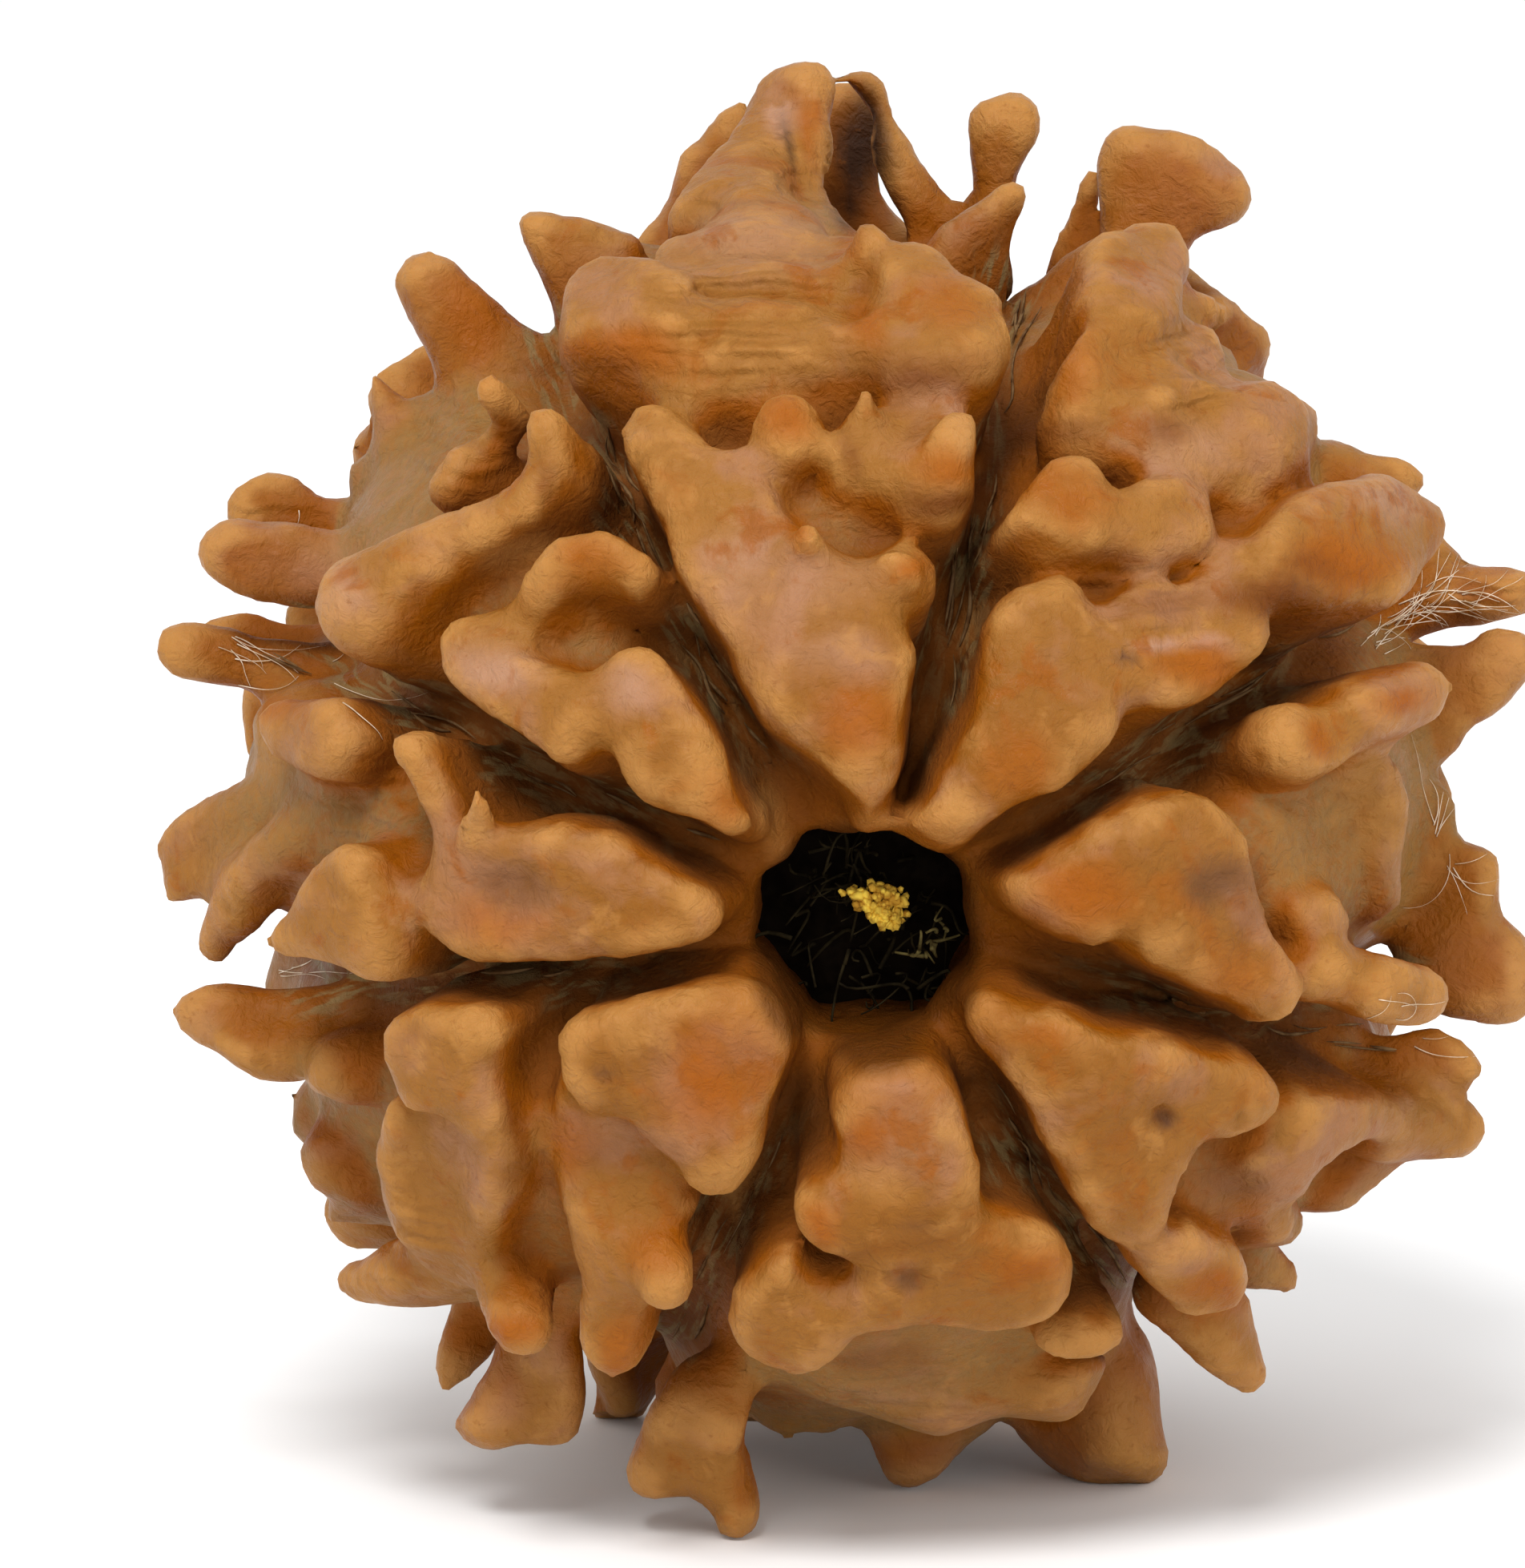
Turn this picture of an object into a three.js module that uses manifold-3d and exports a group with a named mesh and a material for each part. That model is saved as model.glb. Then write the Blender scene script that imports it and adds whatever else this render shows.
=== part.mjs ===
// Rudraksha bead: the woody stone of an eight-faced fruit, one natural piece with its own bore.
// Millimetres, +Z up. The bore runs along Y, and the mouth that faces -Y is the showing one.
import * as THREE from 'three';
import { mergeVertices } from 'three/addons/utils/BufferGeometryUtils.js';
import { edgeTable, triTable } from 'three/addons/objects/MarchingCubes.js';
import Module from 'manifold-3d';

// Driving dimensions, in millimetres
const bodyGirth = 10.3; // radius of the stone's body, square to the bore
const bodyHalf = 9.3; // half its length along the bore
const terrace = 0.8; // how high the ground between the knobs stands, on the two faces but not round the rim
const lobeSwell = 0.3; // how far each face swells between its two clefts
const cleftDepth = 0.9;
const cleftWidth = 1.0;
const funnelDepth = 1.1; // how far the faces dip towards the mouth
const funnelReach = 2.7;
const boreRadius = 1.15;
const mouthRadius = 1.75;
const mouthNotch = 0.25; // how far the mouth's rim runs out into each cleft
const boreAt = [0.38, -0.32]; // x and z of the bore's line, from the body's centre
const mouthDepth = 6; // how deep in the mouth narrows to the bore
const floorDrop = 11.6; // from the body's centre down to the three worn spots that it rests on
const blend = 0.45; // rounding where knobs and ridges grow out of the body
const islandBlend = 0.2; // and where the flat-topped islands do
const gridStep = 0.42;
const mostTriangles = 6000;
const seed = 8;

// The eight clefts, as angles round the bore, seen from the showing mouth
const clefts = [-172, -115, -56, -13, 31, 76, 120, 155];

// The relief was laid out on a face view of the showing mouth, tilted a little down towards the eye.
const view = { unitsPerMm: 70, distance: 200, tilt: 10, middle: [952, 979], body: [1050, 1040] };

// Flat-topped islands on the faces: how far the top stands out, and the outline in the face view
const plates = [
  { rise: 1.9, outline: [[1090, 1028], [1040, 958], [962, 893], [915, 820], [868, 745], [838, 665],
    [808, 590], [778, 545], [775, 510], [800, 490], [840, 505], [880, 545], [935, 560], [965, 610],
    [985, 660], [1060, 690], [1090, 715], [1110, 760], [1142, 815], [1132, 880], [1118, 960]] },
  { rise: 1.9, outline: [[1140, 1030], [1200, 1045], [1255, 1012], [1335, 972], [1392, 918], [1412, 868],
    [1410, 805], [1370, 755], [1345, 722], [1290, 722], [1252, 760], [1238, 830], [1222, 890],
    [1205, 950], [1180, 1000]] },
  { rise: 1.9, outline: [[1395, 800], [1400, 745], [1440, 722], [1500, 728], [1530, 705], [1550, 738],
    [1570, 790], [1555, 825], [1510, 865], [1460, 875], [1418, 850]] },
  { rise: 2.5, outline: [[1580, 685], [1600, 645], [1640, 615], [1700, 592], [1760, 590], [1800, 615],
    [1822, 642], [1815, 668], [1795, 700], [1750, 738], [1700, 745], [1640, 735], [1595, 720]] },
  { rise: 2, outline: [[1283, 1112], [1340, 1075], [1400, 1038], [1450, 1002], [1500, 982], [1530, 992],
    [1560, 1030], [1572, 1075], [1598, 1155], [1632, 1240], [1624, 1272], [1600, 1284], [1560, 1260],
    [1500, 1220], [1450, 1193], [1428, 1160], [1385, 1182], [1345, 1165], [1300, 1140]] },
  { rise: 2.1, outline: [[1606, 918], [1620, 892], [1650, 880], [1680, 895], [1702, 925], [1695, 950],
    [1660, 958], [1622, 948]] },
  { rise: 2.4, outline: [[1692, 882], [1706, 858], [1750, 838], [1800, 830], [1822, 848], [1815, 880],
    [1785, 902], [1722, 918]] },
  { rise: 2, outline: [[1212, 1248], [1262, 1265], [1345, 1290], [1420, 1312], [1500, 1325], [1562, 1335],
    [1602, 1355], [1616, 1378], [1602, 1402], [1558, 1425], [1515, 1435], [1488, 1458], [1468, 1495],
    [1452, 1535], [1438, 1562], [1412, 1565], [1390, 1545], [1350, 1485], [1312, 1412], [1268, 1345],
    [1230, 1298]] },
  { rise: 2.2, outline: [[1440, 1572], [1500, 1560], [1556, 1578], [1566, 1618], [1540, 1650],
    [1490, 1655], [1455, 1630]] },
  { rise: 1.5, outline: [[1625, 1130], [1660, 1114], [1692, 1130], [1692, 1166], [1660, 1182],
    [1630, 1166]] },
  { rise: 1.8, outline: [[1640, 1215], [1680, 1188], [1708, 1198], [1706, 1232], [1680, 1256],
    [1645, 1250]] },
  { rise: 2.2, outline: [[1722, 1225], [1750, 1204], [1800, 1222], [1820, 1248], [1800, 1276],
    [1750, 1282], [1725, 1262]] },
  { rise: 1.7, outline: [[1612, 1392], [1640, 1376], [1740, 1376], [1768, 1396], [1762, 1420],
    [1720, 1436], [1682, 1446], [1656, 1466], [1640, 1505], [1600, 1500], [1562, 1468], [1590, 1430]] },
  { rise: 2.1, outline: [[1095, 1342], [1130, 1350], [1165, 1368], [1195, 1402], [1216, 1440],
    [1231, 1480], [1233, 1520], [1226, 1545], [1252, 1547], [1290, 1555], [1320, 1570], [1336, 1600],
    [1326, 1640], [1290, 1665], [1240, 1680], [1190, 1668], [1150, 1660], [1085, 1664], [1058, 1672],
    [1035, 1702], [1000, 1728], [940, 1708], [912, 1672], [925, 1632], [950, 1600], [985, 1592],
    [1000, 1630], [1045, 1635], [1085, 1612], [1090, 1590], [1040, 1582], [1005, 1562], [995, 1537],
    [1006, 1514], [1042, 1498], [1058, 1482], [1048, 1450], [1050, 1420], [1062, 1392], [1078, 1368]] },
  { rise: 2, outline: [[692, 1295], [760, 1278], [850, 1265], [930, 1260], [978, 1278], [985, 1315],
    [968, 1365], [945, 1420], [920, 1470], [892, 1510], [865, 1500], [835, 1465], [800, 1425],
    [770, 1395], [722, 1390], [700, 1345]] },
  { rise: 1.5, outline: [[692, 1345], [800, 1425], [840, 1480], [852, 1525], [800, 1560], [725, 1560],
    [702, 1500], [685, 1450], [680, 1390]] },
  { rise: 1.6, outline: [[480, 1385], [600, 1390], [630, 1440], [615, 1510], [600, 1560], [540, 1592],
    [490, 1560], [470, 1500], [462, 1440]] },
  { rise: 1.9, outline: [[532, 1172], [520, 1135], [535, 1085], [575, 1058], [625, 1042], [690, 1035],
    [745, 1052], [805, 1088], [860, 1122], [882, 1145], [868, 1167], [815, 1186], [745, 1196],
    [640, 1200], [572, 1195]] },
  { rise: 1.9, outline: [[735, 840], [765, 805], [800, 800], [832, 830], [858, 885], [888, 945],
    [918, 998], [925, 1028], [900, 1038], [850, 1015], [800, 992], [776, 965], [768, 925], [740, 905]] },
  { rise: 2, outline: [[535, 805], [548, 775], [588, 768], [625, 800], [680, 835], [738, 842], [742, 900],
    [705, 935], [680, 945], [640, 918], [585, 872], [548, 835]] },
  { rise: 2.3, outline: [[465, 1310], [472, 1290], [520, 1276], [600, 1280], [612, 1302], [592, 1350],
    [590, 1398], [500, 1390], [480, 1360]] },
  { rise: 2.1, outline: [[320, 1182], [380, 1090], [410, 1065], [440, 1075], [460, 1120], [480, 1180],
    [470, 1205], [440, 1212], [385, 1195]] },
  { rise: 2.2, outline: [[690, 360], [705, 325], [745, 305], [800, 302], [842, 325], [855, 370],
    [838, 405], [790, 414], [700, 408]] },
  { rise: 1.5, outline: [[820, 292], [1100, 292], [1105, 400], [1045, 440], [960, 482], [890, 472],
    [835, 430]] },
  { rise: 1.7, outline: [[312, 885], [340, 866], [405, 878], [432, 912], [400, 958], [350, 962],
    [316, 930]] },
  { rise: 1.5, outline: [[695, 395], [790, 400], [860, 435], [892, 480], [870, 500], [815, 485],
    [760, 458], [702, 435]] },
  { rise: 2.3, outline: [[1110, 310], [1150, 285], [1172, 300], [1190, 330], [1250, 350], [1260, 400],
    [1240, 440], [1180, 460], [1110, 450], [1095, 380]] },
  { rise: 2, outline: [[940, 520], [950, 492], [985, 480], [1010, 495], [1008, 540], [985, 562],
    [950, 555]] },
  { rise: 1.7, outline: [[1052, 560], [1075, 520], [1130, 500], [1190, 490], [1220, 520], [1218, 580],
    [1195, 635], [1150, 640], [1090, 610]] },
  { rise: 2.4, outline: [[1375, 290], [1420, 264], [1470, 275], [1495, 320], [1480, 370], [1450, 400],
    [1400, 400], [1370, 360]] },
  { rise: 1.8, outline: [[1400, 405], [1470, 385], [1520, 400], [1545, 470], [1650, 500], [1650, 590],
    [1560, 625], [1450, 580], [1400, 545]] },
  { rise: 2.2, outline: [[1552, 482], [1600, 475], [1640, 505], [1648, 560], [1600, 582], [1552, 562]] },
  { rise: 2.2, outline: [[1270, 640], [1285, 600], [1320, 568], [1360, 560], [1385, 590], [1395, 640],
    [1370, 665], [1320, 660]] },
  { rise: 2.1, outline: [[1398, 622], [1432, 597], [1482, 588], [1518, 604], [1528, 640], [1500, 678],
    [1440, 688], [1402, 668]] },
  { rise: 1.3, outline: [[1470, 700], [1530, 640], [1560, 615], [1640, 595], [1650, 650], [1610, 700],
    [1575, 760], [1500, 745]] },
  { rise: 1.6, outline: [[1088, 684], [1130, 668], [1160, 688], [1166, 714], [1150, 736], [1110, 736]] },
];

// Ridges and knobs that stand straight out of the body: x, y in the face view, rise and half width in mm
const ridges = [
  [[850, 392, 1.8, 0.22], [920, 368, 2, 0.26], [990, 378, 1.8, 0.2]],
  [[880, 438, 1.7, 0.2], [950, 412, 1.9, 0.24], [1015, 436, 1.7, 0.2]],
  [[880, 330, 1.8, 0.2], [950, 318, 1.9, 0.22], [1035, 335, 1.8, 0.2]],
  [[1095, 1025, 1.1, 0.3], [1145, 1042, 1, 0.28], [1200, 1040, 1.2, 0.3]],
  [[1125, 572, 2, 0.4], [1185, 560, 2.4, 0.45], [1202, 515, 2.5, 0.3]],
  [[1112, 695, 2.3, 0.35], [1138, 705, 2.3, 0.35]],
  [[1048, 545, 2, 0.22], [1052, 600, 1.6, 0.2]],
  [[900, 470, 1.2, 0.9], [1040, 470, 1.2, 0.8]],
  [[1052, 425, 1.7, 0.5], [1068, 405, 2.1, 0.38], [1100, 432, 1.9, 0.3], [1130, 445, 1.8, 0.3]],
  [[1320, 690, 1.3, 0.35], [1400, 690, 1.2, 0.3]],
  [[1415, 450, 2, 0.28], [1490, 462, 2.1, 0.25], [1560, 520, 2.2, 0.28]],
  [[1425, 520, 1.9, 0.25], [1480, 545, 2, 0.25], [1540, 575, 1.9, 0.25]],
  [[1540, 690, 1.8, 0.22], [1562, 740, 1.9, 0.25], [1568, 788, 2, 0.28]],
  [[1700, 935, 1.2, 0.5], [1742, 990, 1.2, 0.55], [1748, 1060, 1.2, 0.5], [1752, 1120, 1.1, 0.4]],
  [[1320, 1690, 1.7, 0.35], [1395, 1680, 1.8, 0.32]],
  [[722, 1490, 1.6, 0.45], [738, 1560, 2, 0.62], [756, 1640, 2.3, 0.66], [754, 1712, 2.5, 0.52]],
  [[485, 1392, 1.9, 0.3], [478, 1465, 1.9, 0.3], [515, 1550, 1.8, 0.4]],
  [[588, 1385, 2, 0.35], [616, 1440, 2, 0.35], [604, 1500, 2, 0.3], [590, 1570, 1.6, 0.35]],
  [[492, 932, 2.2, 0.35], [530, 1000, 1.9, 0.33], [545, 1060, 1.7, 0.33], [522, 1128, 1.7, 0.3]],
  [[640, 770, 1.6, 0.45], [668, 718, 2.2, 0.42], [705, 684, 2.4, 0.42], [745, 676, 2.4, 0.4],
   [780, 702, 2.2, 0.36]],
  [[662, 512, 2.5, 0.45], [672, 560, 2.2, 0.4], [642, 618, 1.9, 0.4], [560, 660, 1.9, 0.45],
   [482, 696, 2.2, 0.7], [415, 737, 2.4, 1]],
  [[545, 600, 1.3, 0.4], [590, 548, 1.3, 0.35]],
  [[462, 1200, 1.9, 0.3], [455, 1130, 2.2, 0.28], [436, 1080, 2.2, 0.25]],
];

// Fingers that lean: x, y in the face view, rise and radius in mm, from foot to tip
const fingers = [
  [[1085, 530, 1.6, 0.32], [1081, 488, 2.3, 0.24]],
  [[1082, 335, 1.6, 0.4], [1082, 292, 2.3, 0.28]],
  [[1345, 545, 0.9, 0.75], [1352, 470, 1.6, 0.5], [1357, 418, 2, 0.3]],
  [[1010, 690, 1.5, 0.3], [1010, 668, 2.3, 0.3]],
  [[805, 1545, 1, 0.7], [830, 1606, 2.3, 0.48]],
  [[640, 1600, 1.2, 0.7], [655, 1658, 2.1, 0.55]],
  [[600, 1050, 1.5, 0.3], [598, 998, 2.4, 0.26]],
  [[645, 530, 1, 0.35], [611, 483, 2, 0.33]],
  [[1452, 530, 1.4, 0.3], [1440, 503, 1.9, 0.3]],
];

// Horns round the rim: x, y in the face view, depth towards the eye and radius in mm, from foot to tip
const horns = [
  [[930, 360, 5, 0.9], [935, 300, 3.4, 0.9], [945, 240, 1.4, 0.6], [955, 190, 0, 0.4]],
  [[1000, 350, 4.8, 0.7], [1000, 310, 3.4, 0.5], [985, 270, 2.2, 0.3]],
  [[880, 290, 2.5, 0.7], [925, 210, 0.5, 0.6], [960, 130, -1, 0.5]],
  [[1032, 310, 2, 0.45], [1010, 230, 0.5, 0.24], [1012, 122, -0.5, 0.42]],
  [[1190, 310, 2, 0.5], [1265, 245, 2, 0.25]],
  [[1460, 400, -1, 0.5], [1530, 388, -2, 0.1]],
  [[1500, 440, -1, 0.3], [1540, 450, -1, 0.15]],
  [[1770, 690, 0, 0.5], [1830, 692, 0, 0.15]],
  [[1720, 1400, 3, 0.8], [1815, 1408, 2, 0.56]],
  [[1560, 1500, 4, 0.8], [1604, 1530, 3.5, 0.4]],
  [[1540, 1560, 2.5, 0.7], [1600, 1590, 2, 0.4], [1632, 1620, 1.5, 0.12]],
  [[1480, 1610, 4, 0.9], [1530, 1680, 3.5, 0.6], [1558, 1718, 3.3, 0.42]],
  [[1480, 1670, 2, 0.5], [1535, 1755, 2, 0.33]],
  [[1030, 1700, 1, 0.5], [1033, 1770, 1, 0.33]],
  [[950, 1740, 1, 0.35], [985, 1798, 1, 0.1]],
  [[800, 1600, -4, 0.8], [770, 1780, -5.5, 0.6], [768, 1808, -6, 0.55]],
  [[590, 1560, 4.5, 0.8], [500, 1588, 3.2, 0.52], [437, 1598, 2, 0.38]],
  [[640, 1580, 4, 0.5], [520, 1604, 2.5, 0.3]],
  [[690, 1640, 3.5, 0.5], [702, 1720, 3, 0.42], [700, 1785, 2.6, 0.38]],
  [[450, 1490, 2, 0.4], [412, 1520, 1, 0.26]],
  [[480, 1480, 1.5, 0.4], [457, 1524, 1, 0.25]],
  [[430, 1000, 5.2, 0.7], [340, 1075, 4.2, 0.5], [268, 1176, 2.5, 0.45]],
  [[430, 965, 4.2, 0.7], [330, 1000, 3, 0.6], [228, 1062, 1.5, 0.54]],
  [[330, 1080, 3.2, 0.45], [222, 1112, 1.6, 0.4]],
  [[470, 600, 1, 0.3], [445, 595, 1, 0.28]],
  [[1480, 1470, 6.5, 0.3], [1540, 1480, 5.8, 0.5], [1590, 1520, 4.5, 0.5]],
];

// Paddles round the rim: thin flaps that face the eye, with depth and thickness in mm
const paddles = [
  { depth: 2, thick: 1.4, outline: [[635, 275], [645, 260], [700, 262], [800, 290], [850, 420],
    [760, 470], [700, 420], [690, 370], [655, 320]] },
  { depth: -2.5, thick: 1, outline: [[790, 400], [800, 300], [850, 205], [905, 130], [940, 125],
    [960, 400]] },
  { depth: -1, thick: 1, outline: [[860, 380], [870, 300], [925, 200], [940, 110], [960, 88], [1000, 74],
    [1030, 82], [1044, 120], [1030, 190], [1000, 210], [1000, 380]] },
  { depth: -1.5, thick: 0.8, outline: [[1040, 95], [1055, 78], [1090, 88], [1110, 113], [1117, 160],
    [1135, 195], [1170, 212], [1205, 260], [1200, 400], [1120, 400], [1112, 270], [1100, 200],
    [1085, 135], [1060, 108]] },
  { depth: -3.6, thick: 0.7, outline: [[985, 125], [1060, 92], [1100, 120], [1120, 220], [1140, 400],
    [985, 400]] },
  { depth: -1, thick: 0.9, outline: [[1207, 200], [1207, 145], [1222, 120], [1275, 116], [1295, 145],
    [1292, 180], [1275, 225], [1265, 380], [1200, 380]] },
  { depth: 1.5, thick: 0.8, outline: [[1180, 295], [1274, 225], [1272, 260], [1262, 340], [1250, 400],
    [1180, 400]] },
  { depth: -1, thick: 1.2, outline: [[1340, 420], [1370, 300], [1380, 200], [1402, 162], [1450, 160],
    [1560, 212], [1567, 245], [1545, 275], [1500, 305], [1460, 420]] },
  { depth: -2, thick: 0.7, outline: [[1300, 400], [1318, 300], [1345, 230], [1378, 200], [1390, 400]] },
  { depth: 1, thick: 1.6, outline: [[1480, 540], [1540, 466], [1600, 483], [1640, 510], [1645, 560],
    [1550, 600]] },
  { depth: 0, thick: 1.2, outline: [[1600, 600], [1650, 540], [1700, 562], [1750, 567], [1785, 600],
    [1700, 660]] },
  { depth: 1.5, thick: 1.2, outline: [[1815, 955], [1680, 900], [1680, 820], [1830, 800], [1860, 780],
    [1915, 785], [1925, 830], [1900, 870], [1860, 897], [1835, 905]] },
  { depth: 0.5, thick: 1.2, outline: [[1720, 745], [1800, 714], [1860, 703], [1915, 710], [1920, 768],
    [1860, 778], [1790, 790], [1720, 800]] },
  { depth: 2, thick: 1, outline: [[1752, 1062], [1765, 1012], [1790, 984], [1812, 975], [1827, 1010],
    [1828, 1050], [1850, 1052], [1875, 1065], [1880, 1085], [1868, 1110], [1862, 1136], [1840, 1136],
    [1790, 1130], [1700, 1110]] },
  { depth: 1.5, thick: 1.4, outline: [[1740, 1140], [1840, 1128], [1900, 1165], [1925, 1210],
    [1905, 1278], [1840, 1275], [1795, 1262], [1740, 1240]] },
  { depth: 2.5, thick: 0.8, outline: [[1700, 1300], [1740, 1290], [1790, 1276], [1828, 1300],
    [1860, 1332], [1858, 1354], [1830, 1360], [1760, 1350], [1700, 1360]] },
  { depth: 2, thick: 0.8, outline: [[1600, 1500], [1640, 1430], [1700, 1424], [1760, 1434], [1748, 1462],
    [1725, 1485], [1700, 1500], [1650, 1512]] },
  { depth: 3.4, thick: 2.4, outline: [[1040, 1690], [1200, 1670], [1330, 1680], [1400, 1690],
    [1350, 1760], [1320, 1772], [1250, 1776], [1200, 1792], [1150, 1784], [1100, 1757], [1050, 1738]] },
  { depth: -1, thick: 3.4, outline: [[1290, 1640], [1340, 1600], [1400, 1640], [1432, 1692], [1448, 1740],
    [1455, 1820], [1440, 1845], [1385, 1853], [1345, 1848], [1322, 1815], [1308, 1785]] },
  { depth: -1.2, thick: 1.2, outline: [[1200, 1640], [1300, 1620], [1350, 1760], [1360, 1852],
    [1305, 1832], [1245, 1776]] },
  { depth: -0.3, thick: 1.4, outline: [[1060, 1600], [1083, 1740], [1090, 1800], [1106, 1852],
    [1136, 1872], [1172, 1852], [1212, 1802], [1245, 1776], [1260, 1600]] },
  { depth: 4, thick: 1, outline: [[812, 1792], [822, 1750], [850, 1704], [890, 1680], [950, 1705],
    [940, 1760], [932, 1800], [922, 1832], [890, 1806], [850, 1799]] },
  { depth: 3.2, thick: 1.5, outline: [[782, 1825], [822, 1750], [860, 1700], [905, 1720], [940, 1842],
    [950, 1895], [932, 1934], [898, 1930], [882, 1890], [855, 1862], [800, 1869], [785, 1848]] },
  { depth: 0.8, thick: 0.9, outline: [[722, 1790], [720, 1720], [770, 1720], [782, 1790], [778, 1822],
    [752, 1833], [726, 1822]] },
  { depth: 2, thick: 1, outline: [[374, 1440], [395, 1410], [430, 1394], [500, 1400], [540, 1450],
    [480, 1475], [430, 1493], [395, 1490], [378, 1468]] },
  { depth: 0, thick: 0.7, outline: [[350, 1352], [470, 1360], [440, 1440], [385, 1430], [365, 1422]] },
  { depth: 2.5, thick: 1.4, outline: [[560, 1778], [575, 1750], [610, 1708], [640, 1640], [690, 1640],
    [708, 1700], [712, 1790], [690, 1806], [640, 1812], [600, 1817], [568, 1799]] },
  { depth: 0, thick: 0.8, outline: [[545, 1690], [560, 1610], [620, 1590], [640, 1650], [605, 1702],
    [570, 1730], [553, 1757], [543, 1730]] },
  { depth: 2, thick: 1.2, outline: [[488, 350], [500, 325], [530, 310], [560, 318], [600, 350],
    [640, 400], [690, 432], [740, 490], [680, 560], [600, 540], [545, 480], [535, 440], [505, 400]] },
  { depth: 1.5, thick: 1, outline: [[455, 465], [470, 460], [500, 500], [540, 500], [600, 520],
    [600, 640], [500, 660], [468, 600], [460, 530]] },
  { depth: 0, thick: 0.8, outline: [[278, 640], [285, 610], [330, 590], [370, 592], [395, 615],
    [470, 640], [470, 720], [300, 700]] },
  { depth: 2.5, thick: 1.2, outline: [[245, 690], [255, 665], [290, 648], [330, 655], [380, 650],
    [450, 690], [450, 760], [340, 762], [300, 755], [260, 725]] },
  { depth: 1.5, thick: 1, outline: [[197, 800], [210, 782], [250, 780], [350, 798], [450, 810],
    [450, 890], [330, 870], [270, 852], [220, 847]] },
  { depth: -0.5, thick: 0.7, outline: [[246, 778], [300, 765], [350, 768], [440, 790], [440, 840],
    [260, 810]] },
  { depth: 3.2, thick: 2, outline: [[310, 905], [330, 872], [400, 850], [480, 870], [480, 940],
    [430, 985], [340, 966], [312, 942]] },
  { depth: 3, thick: 1.2, outline: [[213, 1262], [215, 1245], [250, 1235], [330, 1225], [400, 1232],
    [500, 1235], [500, 1300], [300, 1302], [268, 1306], [225, 1286]] },
  { depth: 3.5, thick: 1.2, outline: [[262, 1302], [300, 1286], [400, 1280], [430, 1320], [365, 1350],
    [322, 1356], [288, 1332]] },
  { depth: 4.5, thick: 1.4, outline: [[374, 1352], [395, 1300], [450, 1280], [510, 1300], [500, 1370],
    [440, 1380], [400, 1372]] },
];

// The face view's eye and its two directions, with the body's centre at the origin
const tilt = THREE.MathUtils.degToRad(view.tilt);
const towardsEye = new THREE.Vector3(0, -Math.cos(tilt), Math.sin(tilt));
const viewRight = new THREE.Vector3(1, 0, 0);
const viewUp = new THREE.Vector3(0, Math.sin(tilt), Math.cos(tilt));
const eye = new THREE.Vector3()
  .addScaledVector(towardsEye, view.distance)
  .addScaledVector(viewRight, (view.middle[0] - view.body[0]) / view.unitsPerMm)
  .addScaledVector(viewUp, (view.body[1] - view.middle[1]) / view.unitsPerMm);

// From the eye through a point of the face view, long enough to reach the plane through the body's centre
function viewRay(x, y) {
  return new THREE.Vector3()
    .addScaledVector(towardsEye, -view.distance)
    .addScaledVector(viewRight, (x - view.middle[0]) / view.unitsPerMm)
    .addScaledVector(viewUp, (view.middle[1] - y) / view.unitsPerMm);
}

// The point seen at x, y that lies a given depth in front of the body's centre plane
function atDepth(x, y, depth) {
  return viewRay(x, y).multiplyScalar(1 - depth / view.distance).add(eye);
}

// The point seen at x, y that stands a given height above the body, or the nearest one past its rim
function atRise(x, y, rise) {
  const ray = viewRay(x, y);
  const halves = new THREE.Vector3(bodyGirth + rise, bodyHalf + rise, bodyGirth + rise);
  const squash = (v) => v.clone().divide(halves);
  const from = squash(eye);
  const along = squash(ray);
  const a = along.lengthSq();
  const b = from.dot(along);
  const reach = b * b - a * (from.lengthSq() - 1);
  return ray.multiplyScalar((-b - Math.sqrt(Math.max(reach, 0))) / a).add(eye);
}

const smoothMin = (a, b, k) => {
  const h = Math.max(k - Math.abs(a - b), 0) / k;
  return Math.min(a, b) - h * h * k * 0.25;
};
const smoothMax = (a, b, k) => -smoothMin(-a, -b, k);

// Distance from the centre to the plain oval of the body, along a unit direction, dipping at both mouths
function ovalRadius(x, y, z) {
  const oval = 1 / Math.hypot(Math.hypot(x, z) / bodyGirth, y / bodyHalf);
  const fromBore = Math.hypot(x * oval - boreAt[0], z * oval - boreAt[1]);
  return oval - funnelDepth * Math.exp(-((fromBore / funnelReach) ** 2));
}

// The angles, in degrees round the bore, from a place to the clefts on its two sides
function besideClefts(dx, dz, y) {
  const angle = THREE.MathUtils.radToDeg(Math.atan2(dz, dx)) + 1.6 * Math.sin(5 * y);
  let after = clefts.findIndex((c) => c > angle);
  if (after < 0) after = 0;
  const before = (after + clefts.length - 1) % clefts.length;
  return [(angle - clefts[before] + 720) % 360, (clefts[after] - angle + 720) % 360];
}

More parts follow.
